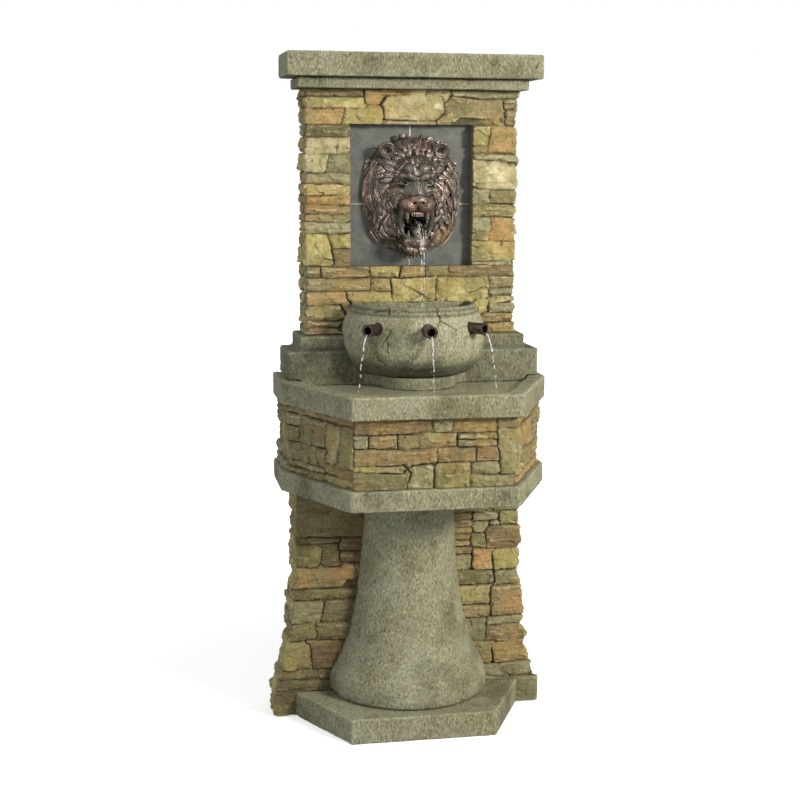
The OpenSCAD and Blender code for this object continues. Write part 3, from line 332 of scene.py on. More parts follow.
def owners(u, z, stones, seed):
    """Which stone each point belongs to, and how far it lies from the cleft between two."""
    p = np.stack([u, 0 * u, z], 1) / 1000
    wu = u + 7 * cloud(p, 0.10, 2, seed) + 2.6 * cloud(p, 0.03, 2, seed + 3)
    wu = wu + 0.9 * cloud(p, 0.008, 2, seed + 5)
    wz = z + 5 * cloud(p, 0.12, 2, seed + 6) + 2.2 * cloud(p, 0.035, 2, seed + 8)
    wz = wz + 0.8 * cloud(p, 0.009, 2, seed + 9)
    near, second = np.full(len(u), 1e9), np.full(len(u), 1e9)
    own = np.zeros(len(u), int)
    for i, (u0, z0, u1, z1, _) in enumerate(stones):
        dice = random.Random(seed * 1000 + i)
        um, zm = (u0 + u1) / 2, (z0 + z1) / 2
        lean = [dice.uniform(-0.3, 0.3) for _ in range(2)] + [dice.uniform(-0.045, 0.045) for _ in range(2)]
        du = np.maximum(u0 - wu + lean[0] * (wz - zm), wu - u1 + lean[1] * (wz - zm))
        dz = np.maximum(z0 - wz + lean[2] * (wu - um), wz - z1 + lean[3] * (wu - um))
        away = np.where((du > 0) & (dz > 0), np.hypot(du, dz), np.maximum(du, dz))
        closer = away < near
        second = np.where(closer, near, np.minimum(second, away))
        own = np.where(closer, i, own)
        near = np.where(closer, away, near)
    return own, (second - near) / 2


def broken_face(u, z, stone, dice, seed):
    """Height of one stone's face: patches left by the hammer, or ledges of its layers."""
    u0, z0, u1, z1, kind = stone
    layered = PAINTS[kind][3]
    tall = z1 - z0
    p = np.stack([u, 0 * u, z], 1) / 1000
    patches = 4.4 * hewn(u, z, max(15, tall * 0.5), seed, 1.4) + 2.2 * hewn(u, z, 8, seed + 9, 1.3)
    bend = 3.0 * cloud(p, 0.05, 2, seed, (0.5, 1, 1))
    thick = dice.uniform(4.5, 8.0)
    sheet = np.floor((z + bend) / thick)
    run = np.floor((u + 14 * cloud(p, 0.04, 2, seed + 2)) / 45 + sheet * 0.37)
    ledges = 2.6 * lattice(np.stack([sheet, run, 0 * run], 1).astype(np.int64), seed)
    lean = dice.uniform(-4.5, 4.5) * (u - (u0 + u1) / 2) / (u1 - u0)
    lean = lean + dice.uniform(-3, 3) * (z - (z0 + z1) / 2) / tall
    h = (1 - layered) * patches + layered * (0.4 * patches + ledges) + lean
    return h + dice.uniform(-3.4, 2.4) + 2.4 * cloud(p, 0.024, 3, seed + 5)


def relief(u, z, stones, seed):
    """Height over the facing's nominal front, in millimetres, and paint of every grid point."""
    shape = u.shape
    u, z = u.ravel(), z.ravel()
    own, seam = owners(u, z, stones, seed)
    h, bright = np.zeros(len(u)), np.zeros(len(u))
    paint = np.zeros((len(u), 4))
    p = np.stack([u, 0 * u, z], 1) / 1000
    broad, small = cloud(p, 0.045, 3, seed + 30), cloud(p, 0.016, 3, seed + 34)
    chips = hewn(u, z, 8, seed + 36, 1.8)
    for i, stone in enumerate(stones):
        mine = own == i
        if not mine.any():
            continue
        dice = random.Random(seed * 977 + i)
        h[mine] = broken_face(u[mine], z[mine], stone, dice, seed + 7 * i)
        main, other, stain, layered = PAINTS[stone[4]]
        main, other, stain = (np.array(rgb(c)) for c in (main, other, stain))
        share = smooth_step(broad[mine] + dice.uniform(-0.2, 0.2), -0.2, 0.25)[:, None]
        colour = main * (1 - share) + other * share
        share = 0.75 * smooth_step(small[mine] + dice.uniform(-0.15, 0.15), 0.12, 0.4)[:, None]
        paint[mine] = colour * (1 - share) + stain * share
        paint[mine, 3] = layered
        bright[mine] = dice.uniform(-0.17, 0.17)
        h[mine] -= dice.uniform(2, 6.5) * np.exp(-seam[mine] / dice.uniform(3, 8))
    layered = paint[:, 3].copy()
    paint *= (1 + bright + 0.13 * chips + 0.12 * cloud(p, 0.07, 2, seed + 38))[:, None]
    for seed_of, colour, most in ((50, "a8803f", 0.45), (54, "74715a", 0.4)):
        share = most * smooth_step(cloud(p, 0.085, 3, seed + seed_of), 0.0, 0.4)[:, None]
        paint = paint * (1 - share) + np.array(rgb(colour)) * share
    gape = cloud(p, 0.05, 2, seed + 40)
    width = 0.25 + 2.0 * smooth_step(gape, -0.1, 0.5) + 0.4 * cloud(p, 0.01, 2, seed + 44)
    cleft = 1 - smooth_step(seam, 0.1, np.maximum(width, 0.35) + 0.6)
    h = np.clip(h, -9, 7) - (2.0 + 6.5 * smooth_step(gape, -0.35, 0.3)) * cleft
    flat = h.reshape(shape)
    proud, high = (flat - blurred(flat, 2)).ravel(), (flat - blurred(flat, 6)).ravel()
    pale, dark, earth_shade = (np.array(rgb(c)) for c in ("d8cfa4", "2a2210", "4c3e20"))
    lift = (0.38 * smooth_step(proud, 0.5, 2.0) * smooth_step(small, -0.5, 0.4)
            + 0.22 * smooth_step(high, 1.2, 4.5))[:, None]
    # dirt and painted shade: brown in broad hollows, and soft painted shade along the clefts
    dirt_and_shade = (0.7 * smooth_step(-high, 1.0, 4.5) * smooth_step(broad, -0.7, 0.4)
            + 0.5 * np.exp(-seam / 4) * smooth_step(gape, -0.7, 0.3))[:, None]
    # painted shade in small hollows, and the dark of the open clefts
    sink = 0.6 * smooth_step(-proud, 0.8, 3.0) + 0.8 * cleft * smooth_step(gape, -0.4, 0.4)
    sink = np.clip(sink, 0, 0.92)[:, None]
    for colour, share in ((pale, lift), (earth_shade, np.minimum(dirt_and_shade, 0.9)), (dark, sink)):
        paint = paint * (1 - share) + colour * share
    paint = (paint * 0.93 + 0.07 * np.array(rgb("b4b296"))) * 1.12
    paint[:, 3] = layered
    return flat, paint.reshape(*shape, 4)


def along(path, u, r):
    """Places and outward normals at the distances u on a plan outline, its corners rounded over r."""
    path = np.array(path, float)
    run = np.diff(path, axis=0)
    length = np.linalg.norm(run, axis=1)
    way = run / length[:, None]
    out = np.stack([way[:, 1], -way[:, 0]], 1)
    start = np.concatenate([[0], np.cumsum(length)])
    k = np.clip(np.searchsorted(start, u, side="right") - 1, 0, len(run) - 1)
    place = path[k] + way[k] * (u - start[k])[..., None]
    normal = out[k]
    for c in range(1, len(path) - 1):
        t = (u - start[c] + r) / (2 * r)
        inside = (t > 0) & (t < 1)
        t = t[inside][:, None]
        a, b = path[c] - way[c - 1] * r, path[c] + way[c] * r
        place[inside] = a * (1 - t) ** 2 + 2 * path[c] * t * (1 - t) + b * t ** 2
        n = out[c - 1] * (1 - t) + out[c] * t
        normal[inside] = n / np.linalg.norm(n, axis=1)[:, None]
    return place, normal


def closed_relief(name, front, back, paint, holes=(), rows=(), columns=()):
    """A solid from a front grid and a back grid; the back is a few large faces between the given
    rows and columns, and holes are (row, column) pairs of those large cells that stay open."""
    nz, nu = front.shape[:2]
    rows, columns = [0, *rows, nz - 1], [0, *columns, nu - 1]
    keep = np.ones((nz - 1, nu - 1), bool)
    for r, c in holes:
        keep[rows[r]:rows[r + 1], columns[c]:columns[c + 1]] = False
    number = np.arange(nz * nu).reshape(nz, nu)
    a, b, c, d = number[:-1, :-1], number[:-1, 1:], number[1:, 1:], number[1:, :-1]
    faces = [list(f) for f in np.stack([a[keep], b[keep], c[keep], d[keep]], 1)]
    points = front.reshape(-1, 3)
    framed = np.zeros((nz + 1, nu + 1), bool)
    framed[1:-1, 1:-1] = keep
    behind, extra = {}, []

    def rear(k):
        if k not in behind:
            behind[k] = nz * nu + len(extra)
            extra.append(back.reshape(-1, 3)[k])
        return behind[k]

    for j in range(nz):
        for i in range(nu):
            if i < nu - 1 and framed[j, i + 1] != framed[j + 1, i + 1]:
                k, m = number[j, i], number[j, i + 1]
                faces.append([m, k, rear(k), rear(m)] if framed[j + 1, i + 1] else [k, m, rear(m), rear(k)])
            if j < nz - 1 and framed[j + 1, i] != framed[j + 1, i + 1]:
                k, m = number[j, i], number[j + 1, i]
                faces.append([k, m, rear(m), rear(k)] if framed[j + 1, i + 1] else [m, k, rear(k), rear(m)])
    for r in range(len(rows) - 1):
        for q in range(len(columns) - 1):
            if (r, q) in holes:
                continue
            j0, j1, i0, i1 = rows[r], rows[r + 1], columns[q], columns[q + 1]
            ring = [number[j, i0] for j in range(j0, j1)] + [number[j1, i] for i in range(i0, i1)]
            ring += [number[j, i1] for j in range(j1, j0, -1)] + [number[j0, i] for i in range(i1, i0, -1)]
            corners = {number[j0, i0], number[j0, i1], number[j1, i0], number[j1, i1]}
            faces.append([rear(k) for k in ring if k in behind or k in corners])
    mesh = bpy.data.meshes.new(name)
    points = np.concatenate([points, np.array(extra)]).tolist()
    mesh.from_pydata(points, [], [[int(v) for v in f] for f in faces])
    mesh.polygons.foreach_set("use_smooth", [True] * len(mesh.polygons))
    layer = mesh.color_attributes.new("tint", "FLOAT_COLOR", "POINT")
    full = np.concatenate([paint.reshape(-1, 4), np.tile(paint.reshape(-1, 4).mean(0), (len(extra), 1))])
    layer.data.foreach_set("color", full.astype(np.float32).ravel())
    loose = bmesh.new()
    loose.from_mesh(mesh)
    bmesh.ops.delete(loose, geom=[v for v in loose.verts if not v.link_faces], context="VERTS")
    loose.to_mesh(mesh)
    loose.free()
    made = bpy.data.objects.new(name, mesh)
    scene.collection.objects.link(made)
    return made


print("relief ready")

# %% [markdown]
# The stone's finish. The relief carries each stone's colour, its pale worn edges, its dark clefts
# and painted shade in its hollows. The material only adds what is finer than the grid: grain, specks and thin
# layers.

# %% Split stone finish
def stone_look():
    """Painted sandstone: dull, gritty, its layers drawn as thin dark lines."""
    made, tree = material("split_stone")
    place = put(tree, "TexCoord").outputs["Object"]
    tint = put(tree, "Attribute", attribute_name="tint")
    grit = put(tree, "TexNoise", {"Vector": place, "Scale": 1000 / 3.2, "Detail": 6, "Roughness": 0.7})
    blotch = put(tree, "TexNoise", {"Vector": place, "Scale": 1000 / 11, "Detail": 5, "Roughness": 0.65})
    level = put(tree, "Mapping", {"Vector": place, "Scale": (0.16, 0.16, 1.0)})
    layers = put(tree, "TexNoise", {"Vector": level, "Scale": 1000 / 7, "Detail": 5, "Roughness": 0.65,
                                    "Distortion": 0.5})
    line = put(tree, "MapRange", {"Value": layers, "From Min": 0.47, "From Max": 0.38})
    line = put(tree, "Math", {0: line, 1: tint.outputs["Alpha"]}, operation="MULTIPLY")
    line = put(tree, "Math", {0: line, 1: 0.55}, operation="MULTIPLY")
    colour = put(tree, "MixRGB", {"Fac": line, "Color1": tint.outputs["Color"], "Color2": rgb("3d3218")})
    specks = ((blotch, 0.5, 0.72, 0.35, "5d5a34"), (grit, 0.55, 0.72, 0.4, "cdc59a"),
              (grit, 0.45, 0.3, 0.5, "3f371c"))
    for noise, start, end, most, code in specks:
        share = put(tree, "MapRange", {"Value": noise, "From Min": start, "From Max": end, "To Max": most})
        colour = put(tree, "MixRGB", {"Fac": share, "Color1": colour, "Color2": rgb(code)})
    skin = put(tree, "Bump", {"Height": grit, "Distance": 0.001, "Strength": 0.8})
    skin = put(tree, "Bump", {"Height": layers, "Distance": 0.0012, "Strength": 0.6, "Normal": skin})
    skin = put(tree, "Bump", {"Height": blotch, "Distance": 0.002, "Strength": 0.5, "Normal": skin})
    bsdf = put(tree, "BsdfPrincipled", {"Base Color": colour, "Roughness": 0.8, "Specular IOR Level": 0.3,
                                        "Normal": skin})
    put(tree, "OutputMaterial", {"Surface": bsdf})
    return made


STONE = stone_look()
GRID = 1.8
CORNER = 9.0
STONE_T = 12.0
PROUD = 6.5


def levels_of(low, high, *breaks):
    """Grid lines about GRID apart from low to high that pass through every break, and their places."""
    marks = [low, *breaks, high]
    lines, places = [], []
    for a, b in zip(marks, marks[1:]):
        count = max(2, round((b - a) / GRID))
        lines += list(np.linspace(a, b, count, endpoint=False))
        places.append(len(lines))
    return np.array(lines + [high]), places[:-1]


def side_boxes(node, corner, deep):
    """Stones of a face across y, developed past the corner at distance corner from the middle."""
    dice = random.Random(node)
    out = []
    for part in solids_of(node):
        start = corner + deep - (BACK * 1000 - part[:, 1].min())
        end = corner + deep - (BACK * 1000 - part[:, 1].max())
        if start < corner + 6:
            start = corner + dice.uniform(12, 40)
        kind = dice.choice(MIXES["side"])
        out.append([start, part[:, 2].min(), max(end, start + 20), part[:, 2].max(), kind])
    return out


def skins(place, normal, h, z, sign=1):
    """Front and back grid of a facing in metres: its broken face, and its flat back STONE_T behind."""
    grids = []
    for off in (np.clip(h, -STONE_T + 0.5, PROUD), np.full(h.shape, -STONE_T)):
        face = place + normal * off[..., None]
        face[..., 0] *= sign
        grids.append(np.concatenate([face, z[..., None]], 2) / 1000)
    return grids


print("grid", GRID, "mm, stones up to", PROUD, "mm proud")

# %% Facing of the upper wall, round its front and both sides
half = box_mm("upper_side_stones_right")[1][0]
front_y = box_mm("upper_stones_front")[0][1]
depth = BACK * 1000 - front_y
tiles_lo, tiles_hi = box_mm("niche_tiles")
niche = (-tiles_hi[0] - 0.3, tiles_hi[0] + 0.3, tiles_lo[2] - 0.3, tiles_hi[2] + 0.3)
low_z, top_z = box_mm("upper_wall_shell")[0][2], box_mm("upper_wall_shell")[1][2]
dice = random.Random("upper")
stones = []
for part in solids_of("upper_stones_front"):
    (x0, _, z0), (x1, _, z1) = part.min(0), part.max(0)
    kind = stone_kind("upper_stones_front", (x0 + x1) / 2, (z0 + z1) / 2, dice)
    x0 = x0 if x0 > -half + STONE_T + 8 else -half - 10
    x1 = x1 if x1 < half - STONE_T - 8 else half + 10
    stones.append([x0, z0, x1, z1, kind])
stones += side_boxes("upper_side_stones_right", half, depth)
stones += [[-s[2], s[1], -s[0], s[3], s[4]] for s in side_boxes("upper_side_stones_left", half, depth)]
u_line, u_marks = levels_of(-half - depth + 1, half + depth - 1, -half, niche[0], niche[1], half)
z_line, z_marks = levels_of(low_z, top_z, niche[2], niche[3])
u, z = np.meshgrid(u_line, z_line)
h, paint = relief(u, z, stones, 11)
bowl_lo, bowl_hi = box_mm("bowl")
bowl_edge = np.interp(z, [bowl_lo[2], bowl_lo[2] + 83, bowl_lo[2] + 127, bowl_hi[2]],
                      [bowl_hi[0] - 46, bowl_hi[0] - 3, bowl_hi[0] - 19, bowl_hi[0] - 23])
h = np.where((np.abs(u) < bowl_edge - 6) & (z < bowl_hi[2] - 3), -STONE_T + 0.5, h)
h = np.where(np.minimum(z - low_z, top_z - z) < 1, np.minimum(h, -1.5), h)
path = [(-half, BACK * 1000), (-half, front_y), (half, front_y), (half, BACK * 1000)]
place, normal = along(path, u + half + depth, CORNER)
grid, rear = skins(place, normal, h, z)
made = closed_relief("facing_upper", grid, rear, paint, [(1, 2)], z_marks, u_marks)
settle(made, STONE,
       ["upper_stones_front", "upper_side_stones_left", "upper_side_stones_right"])
print("upper facing", len(stones), "stones", len(made.data.vertices), "points")

# %% Facing of the basin, round its five faces
BASIN_FACES = ("left_side", "left_diagonal", "front", "right_diagonal", "right_side")
INSET, SIDE, FRONT = 10.0, 146.0, 176.0


def basin_plan(wide, deep, inset, back=0):
    """Corners of the basin's plan moved in by inset, for its half width and depth at one level."""
    slope = np.array([wide - FRONT, deep - SIDE])
    turn = slope[::-1] / np.linalg.norm(slope)
    reach = turn @ np.array([wide, SIDE]) - inset
    x, d = wide - inset, deep - inset
    left = [(-x, back), (-x, (reach - turn[0] * x) / turn[1]), (-(reach - turn[1] * d) / turn[0], d)]
    return [(x, BACK * 1000 - d) for x, d in left + [(-x, d) for x, d in reversed(left)]]


corn_lo, corn_hi = box_mm("cornice")
path = basin_plan(corn_hi[0], BACK * 1000 - corn_lo[1], INSET)
starts = np.concatenate([[0], np.cumsum([math.dist(a, b) for a, b in zip(path, path[1:])])])
stones = []
for k, face in enumerate(BASIN_FACES):
    dice = random.Random(face)
    a = np.array(path[k])
    way = (np.array(path[k + 1]) - a) / math.dist(path[k], path[k + 1])
    for part in solids_of("basin_stones_" + face):
        along_face = (part[:, :2] - a) @ way
        u0, u1, z0, z1 = along_face.min(), along_face.max(), part[:, 2].min(), part[:, 2].max()
        kind = stone_kind("basin_stones_" + face, (a + way * (u0 + u1) / 2)[0], (z0 + z1) / 2, dice)
        stones.append([u0 + starts[k], z0, u1 + starts[k], z1, kind])
u_line, u_marks = levels_of(1, starts[-1] - 1, *starts[1:-1])
z_line, z_marks = levels_of(corn_hi[2], box_mm("basin_rim")[0][2])
u, z = np.meshgrid(u_line, z_line)
h, paint = relief(u, z, stones, 23)
# painted shade: the whole basin facing is darkened by a fifth
paint[..., :3] *= 0.8
place, normal = along(path, u, 7.0)
grid, rear = skins(place, normal, h, z)
made = closed_relief("facing_basin", grid, rear, paint, [], z_marks, u_marks)
settle(made, STONE, ["basin_stones_" + face for face in BASIN_FACES])
print("basin facing", len(stones), "stones", len(made.data.vertices), "points")

# %% Facings of the lower wall, left and right of the column
COLUMN_AXIS = 80.0
REACH = 240.0
# How far the painted shade and dirt behind the column reach in millimetres, their most and their least share
COLUMN_SHADE_AND_DIRT = {"left": (140, 0.92, 0.45), "right": (95, 0.3, 0.0)}


def radius_at(node, z, measure):
    """Greatest measure of a node's corners at its own levels, read off at the heights z."""
    co = np.array([v.co[:] for v in nodes[node].data.vertices]) * 1000
    levels_here = sorted({round(v, 1) for v in co[:, 2]})
    widest = [measure(co[np.abs(co[:, 2] - v) < 0.2]).max() for v in levels_here]
    return np.interp(z, levels_here, widest)


low_lo = box_mm("lower_side_stones_right")[0]
front_y, depth = low_lo[1], BACK * 1000 - low_lo[1]
axis_y = BACK * 1000 - COLUMN_AXIS
plinth_top, plinth_w = box_mm("plinth")[1][2], box_mm("plinth")[1][0]
for side, sign, seed in (("left", -1, 37), ("right", 1, 51)):
    z_line, z_marks = levels_of(3.0, box_mm("cornice")[0][2], 60.0, 110.0, 180.0, 300.0)
    width = radius_at("lower_side_stones_" + side, z_line, lambda co: np.abs(co[:, 0]))
    width = blurred(width[:, None] * np.ones((1, 3)), 4)[:, 0]
    column_r = radius_at("column", z_line, lambda co: np.hypot(co[:, 0], co[:, 1] - axis_y))
    column_x = np.sqrt(np.maximum(column_r ** 2 - (front_y - axis_y) ** 2, 1))
    inner_x = np.minimum(np.where(z_line < plinth_top + 2, plinth_w - 8, column_x - 6), width - 30)
    t_line, t_marks = levels_of(-REACH, depth - 1, 0.0)
    t, z = np.meshgrid(t_line, z_line)
    w = width[:, None] * np.ones(t.shape)
    u = np.where(t < 0, t / REACH * (w - inner_x[:, None]), t)
    stones = []
    dice = random.Random(side)
    for part in solids_of("lower_stones_" + side):
        x0, x1 = np.abs(part[:, 0]).min(), np.abs(part[:, 0]).max()
        middle = (part[:, 2].min() + part[:, 2].max()) / 2
        here = np.interp(middle, z_line, width)
        kind = stone_kind("lower_stones_" + side, sign * (x0 + x1) / 2, middle, dice)
        stones.append([x0 - 8, part[:, 2].min(), x1 if x1 < here - 26 else here + 12, part[:, 2].max(), kind])
    for s in side_boxes("lower_side_stones_" + side, 0, depth):
        here = np.interp((s[1] + s[3]) / 2, z_line, width)
        stones.append([s[0] + here, s[1], s[2] + here, s[3], s[4]])
    h, paint = relief(u + w, z, stones, seed)
    h = np.minimum(h, cad_hi.x * 1000 - w)
    # painted shadow of the column, with some dirt, darkens the corner behind it, most on the side away from
    # the light; the least share darkens that whole front as painted shade
    far, most, least = COLUMN_SHADE_AND_DIRT[side]
    corner = np.exp(-np.maximum(u + w - inner_x[:, None], 0) / far) * (t < 0)
    patchy = cloud(np.stack([u.ravel(), 0 * u.ravel(), z.ravel()], 1), 45, 2, seed).reshape(u.shape)
    shade_and_dirt = (np.maximum(most * corner, least * (t < 0)) * (0.75 + 0.5 * patchy))[..., None]
    paint[..., :3] = paint[..., :3] * (1 - shade_and_dirt) + np.array(rgb("3a2a10"))[:3] * shade_and_dirt
    place, normal = along([(-400, front_y), (0, front_y), (0, BACK * 1000)], u + 400, CORNER)
    place[..., 0] += w
    grid, rear = skins(place, normal, h, z, sign)
    if sign < 0:
        grid, rear, paint = grid[:, ::-1], rear[:, ::-1], paint[:, ::-1]
        t_marks = [grid.shape[1] - 1 - m for m in t_marks]
    made = closed_relief("facing_lower_" + side, grid, rear, paint, [], z_marks, t_marks)
    settle(made, STONE, ["lower_stones_" + side, "lower_side_stones_" + side])
    print("lower facing", side, len(stones), "stones", len(made.data.vertices), "points")


# %% [markdown]
# Cast stone. The castings keep their straight arrises, only softened by the mould and chipped
# here and there. Air bubbles leave pits. Tops and arrises get painted light, undersides and hollows painted
# shade.

# %% Castings
def cast_look(name, wet_and_shade_top=None):
    """Grey-buff cast stone: a dull, stippled skin with pits; below wet_and_shade_top it is painted dark, as
    wet stone with painted shade in the seam at the waterline.
    """
    made, tree = material(name)
    place = put(tree, "TexCoord").outputs["Object"]
    tint = put(tree, "Attribute", attribute_name="tint")
    upright = put(tree, "Mapping", {"Vector": place, "Scale": (1.0, 1.0, 0.45)})
    broad = put(tree, "TexNoise", {"Vector": place, "Scale": 1000 / 110, "Detail": 5, "Roughness": 0.6})
    blotch = put(tree, "TexNoise", {"Vector": place, "Scale": 1000 / 22, "Detail": 5, "Roughness": 0.65})
    stipple = put(tree, "TexNoise", {"Vector": upright, "Scale": 1000 / 3.4, "Detail": 4, "Roughness": 0.7})
    bubbles = put(tree, "TexVoronoi", {"Vector": place, "Scale": 1000 / 7.5, "Randomness": 1.0})
    where = put(tree, "TexNoise", {"Vector": place, "Scale": 1000 / 25, "Detail": 3, "Roughness": 0.6})
    share = put(tree, "MapRange", {"Value": broad, "From Min": 0.38, "From Max": 0.64})
    colour = put(tree, "MixRGB", {"Fac": share, "Color1": rgb("91917a"), "Color2": rgb("7f7c62")})
    specks = ((blotch, 0.5, 0.68, 0.6, "858162"), (blotch, 0.46, 0.3, 0.55, "575239"),
              (stipple, 0.52, 0.66, 0.7, "b9b796"), (stipple, 0.47, 0.33, 0.75, "48442f"))
    for noise, start, end, most, code in specks:
        share = put(tree, "MapRange", {"Value": noise, "From Min": start, "From Max": end, "To Max": most})
        colour = put(tree, "MixRGB", {"Fac": share, "Color1": colour, "Color2": rgb(code)})
    pit = put(tree, "MapRange", {"Value": bubbles, "From Min": 0.24, "From Max": 0.08})
    some = put(tree, "MapRange", {"Value": where, "From Min": 0.48, "From Max": 0.56})
    pit = put(tree, "Math", {0: pit, 1: some}, operation="MULTIPLY")
    share = put(tree, "Math", {0: pit, 1: 0.8}, operation="MULTIPLY")
    colour = put(tree, "MixRGB", {"Fac": share, "Color1": colour, "Color2": rgb("2c2917")})
    colour = put(tree, "MixRGB", {"Fac": 1.0, "Color1": colour, "Color2": tint.outputs["Color"]},
                 blend_type="MULTIPLY")
    # painted dark just above the water: wet stone, with painted shade in the seam at the waterline
    if wet_and_shade_top:
        height = put(tree, "SeparateXYZ", {"Vector": place}).outputs["Z"]
        height = put(tree, "Math", {0: blotch, 1: 0.004, 2: height}, operation="MULTIPLY_ADD")
        share = put(tree, "MapRange", {"Value": height, "From Min": wet_and_shade_top + 0.0045,
                                       "From Max": wet_and_shade_top + 0.002})
        colour = put(tree, "MixRGB", {"Fac": share, "Color1": colour, "Color2": rgb("1c1a10")})
    skin = put(tree, "Bump", {"Height": stipple, "Distance": 0.0015, "Strength": 0.9})
    skin = put(tree, "Bump", {"Height": blotch, "Distance": 0.0016, "Strength": 0.6, "Normal": skin})
    skin = put(tree, "Bump", {"Height": pit, "Distance": 0.001, "Strength": 0.9, "Normal": skin}, invert=True)
    bsdf = put(tree, "BsdfPrincipled", {"Base Color": colour, "Roughness": 0.88, "Specular IOR Level": 0.2,
                                        "Normal": skin})
    put(tree, "OutputMaterial", {"Surface": bsdf})
    return made


def line_on(u, z, points, width):
    """Share from 0 to 1 of a drawn line through the points, with soft edges."""
    best = np.full(len(u), 1e9)
    for (ua, za), (ub, zb) in zip(points, points[1:]):
        t = np.clip(((u - ua) * (ub - ua) + (z - za) * (zb - za)) / ((ub - ua) ** 2 + (zb - za) ** 2), 0, 1)
        best = np.minimum(best, np.hypot(u - ua - t * (ub - ua), z - za - t * (zb - za)))
    return 1 - smooth_step(best, width * 0.5, width)


# Cracks, runs and painted shade on the bowl: points as degrees round from the front and height in
# millimetres, then the width, how deep it is cut and how dark it is painted
BOWL_MARKS = (
    (((10, 922), (9.5, 910), (12, 903), (11, 897)), 2.2, 2.2, 0.95),
    (((11, 897), (17, 889), (25, 876)), 1.5, 1.0, 0.75), (((11, 897), (8, 888), (8.5, 882)), 1.4, 1.0, 0.7),
    (((-34, 922), (-34.5, 914), (-33.5, 908)), 2.0, 2.0, 0.9),
    (((-50, 911), (-42, 914), (-36, 917)), 1.5, 1.0, 0.7),
    (((-29, 880), (-31, 868), (-33, 860), (-31.5, 850), (-32, 830)), 1.5, 1.0, 0.8),
    (((-33, 860), (-37, 842)), 1.3, 0.8, 0.6), (((-58, 890), (-61, 876)), 1.3, 0.8, 0.6),
    (((-46, 862), (-44, 838), (-40, 818), (-34, 806)), 7, 0, 0.5),
    (((-3, 860), (-7, 836), (-14, 815), (-18, 800)), 8, 0, 0.5),
    # painted shade: two wide uncut bands darken the foot of the bowl at the front
    (((-24, 804), (-8, 799), (8, 804)), 16, 0, 0.55),
    (((-60, 800), (-8, 788), (60, 800)), 12, 0, 0.45),
    (((34, 862), (33, 842)), 6, 0, 0.3),
)


# How light the wash of each casting is, matched to the photograph
WASH = {"column": 1.04, "bowl": 1.22, "step_block": 0.7, "basin_rim": 1.0, "bowl_apron": 0.9}


def weathered(node, voxel, bevel, seed):
    """A casting with soft, chipped arrises and a slightly uneven, pitted skin."""
    co, quads, normal = arrays(even(nodes[node].data, voxel, bevel, 1))
    cut = 0.0006 + 0.0005 * cloud(co, 0.05, 3, seed) + 0.0004 * cloud(co, 0.009, 2, seed + 5)
    cut += 0.005 * np.clip(cloud(co, 0.012, 2, seed + 8) - 0.42, 0, 1)
    # an arris is where the surface falls away all round, so the point lies proud of its neighbours
    middle, count = np.zeros_like(co), np.zeros(len(co))
    for k in range(4):
        np.add.at(middle, quads[:, k], co[quads[:, (k + 1) % 4]])
        np.add.at(count, quads[:, k], 1)
    lean = ((co - middle / np.maximum(count, 1)[:, None]) * normal).sum(1) / (voxel * 0.12)
    proud, hollow = np.clip(lean, 0, 1), np.clip(-lean, 0, 1)
    cut += 0.006 * proud * np.clip(cloud(co, 0.03, 3, seed + 13) - 0.15, 0, 1)
    up, broad = normal[:, 2], cloud(co, 0.06, 3, seed + 17)
    # painted light and shade: tops and arrises paler, undersides and hollows darker
    shade = 1 + 0.10 * smooth_step(up, 0.3, 0.9) - 0.42 * smooth_step(-up, 0.1, 0.9)
    shade = shade + 0.22 * proud - 0.45 * hollow
    shade *= (1 - 0.32 * smooth_step(broad, 0.0, 0.55)) * WASH.get(node, 1.0)
    paint = np.stack([shade, shade, shade * (1 - 0.05 * broad), np.ones(len(co))], 1)
    if node == "step_block":
        x, y, z = co.T * 1000
        # painted shadow of the bowl, with smudges of the casting's own, darkens the step front left of the
        # bowl
        bowl_shadow_and_smudge = smooth_step(-x, 95, 150) * smooth_step(z, 752, 770) * (1 - smooth_step(z, 815, 850))
        bowl_shadow_and_smudge = bowl_shadow_and_smudge * smooth_step(-normal[:, 1], 0.3, 0.8)
        paint[:, :3] *= (1 - 0.42 * bowl_shadow_and_smudge * (0.8 + 0.5 * cloud(co, 0.03, 2, 21)))[:, None]
    if node == "bowl":
        axis = box_mm("bowl")[0][1] + box_mm("bowl")[1][0]
        x, y, z = co.T * 1000
        u = np.degrees(np.arctan2(x, axis - y)) * 2.6 + 1.2 * cloud(co, 0.008, 2, 5)
        # the rim band is painted darker than the belly, and the foot gets painted shade below the belly
        dull = 0.3 * smooth_step(z, 900, 906) + 0.4 * (1 - smooth_step(z, 785, 830))
        paint[:, :3] *= (1 - dull)[:, None]
        for points, width, deep, dark in BOWL_MARKS:
            drawn = line_on(u, z, [(a * 2.6, b) for a, b in points], width) * (normal[:, 2] > -0.8)
            cut += drawn * deep / 1000
            paint[:, :3] *= (1 - dark * drawn * (1 if deep else 0.6 + 0.4 * cloud(co, 0.01, 2, 9)))[:, None]
    return build("cast_" + node, co - normal * np.clip(cut, 0, 0.006)[:, None], quads, paint)


WATER_Z = 0.750
CAST, WET_SHADE_CAST = cast_look("cast_stone"), cast_look("cast_stone_wet_shaded_foot", WATER_Z)
CASTINGS = ("plinth", "column", "cornice", "basin_rim", "step_block", "bowl_apron", "bowl",
            "cap_moulding", "cap_slab")
for i, node in enumerate(CASTINGS):
    made = weathered(node, 0.0024 if node == "bowl" else 0.003, 0.003, i * 31)
    settle(made, WET_SHADE_CAST if node in ("step_block", "bowl_apron") else CAST, [node])
    print(node, len(made.data.vertices), "points")

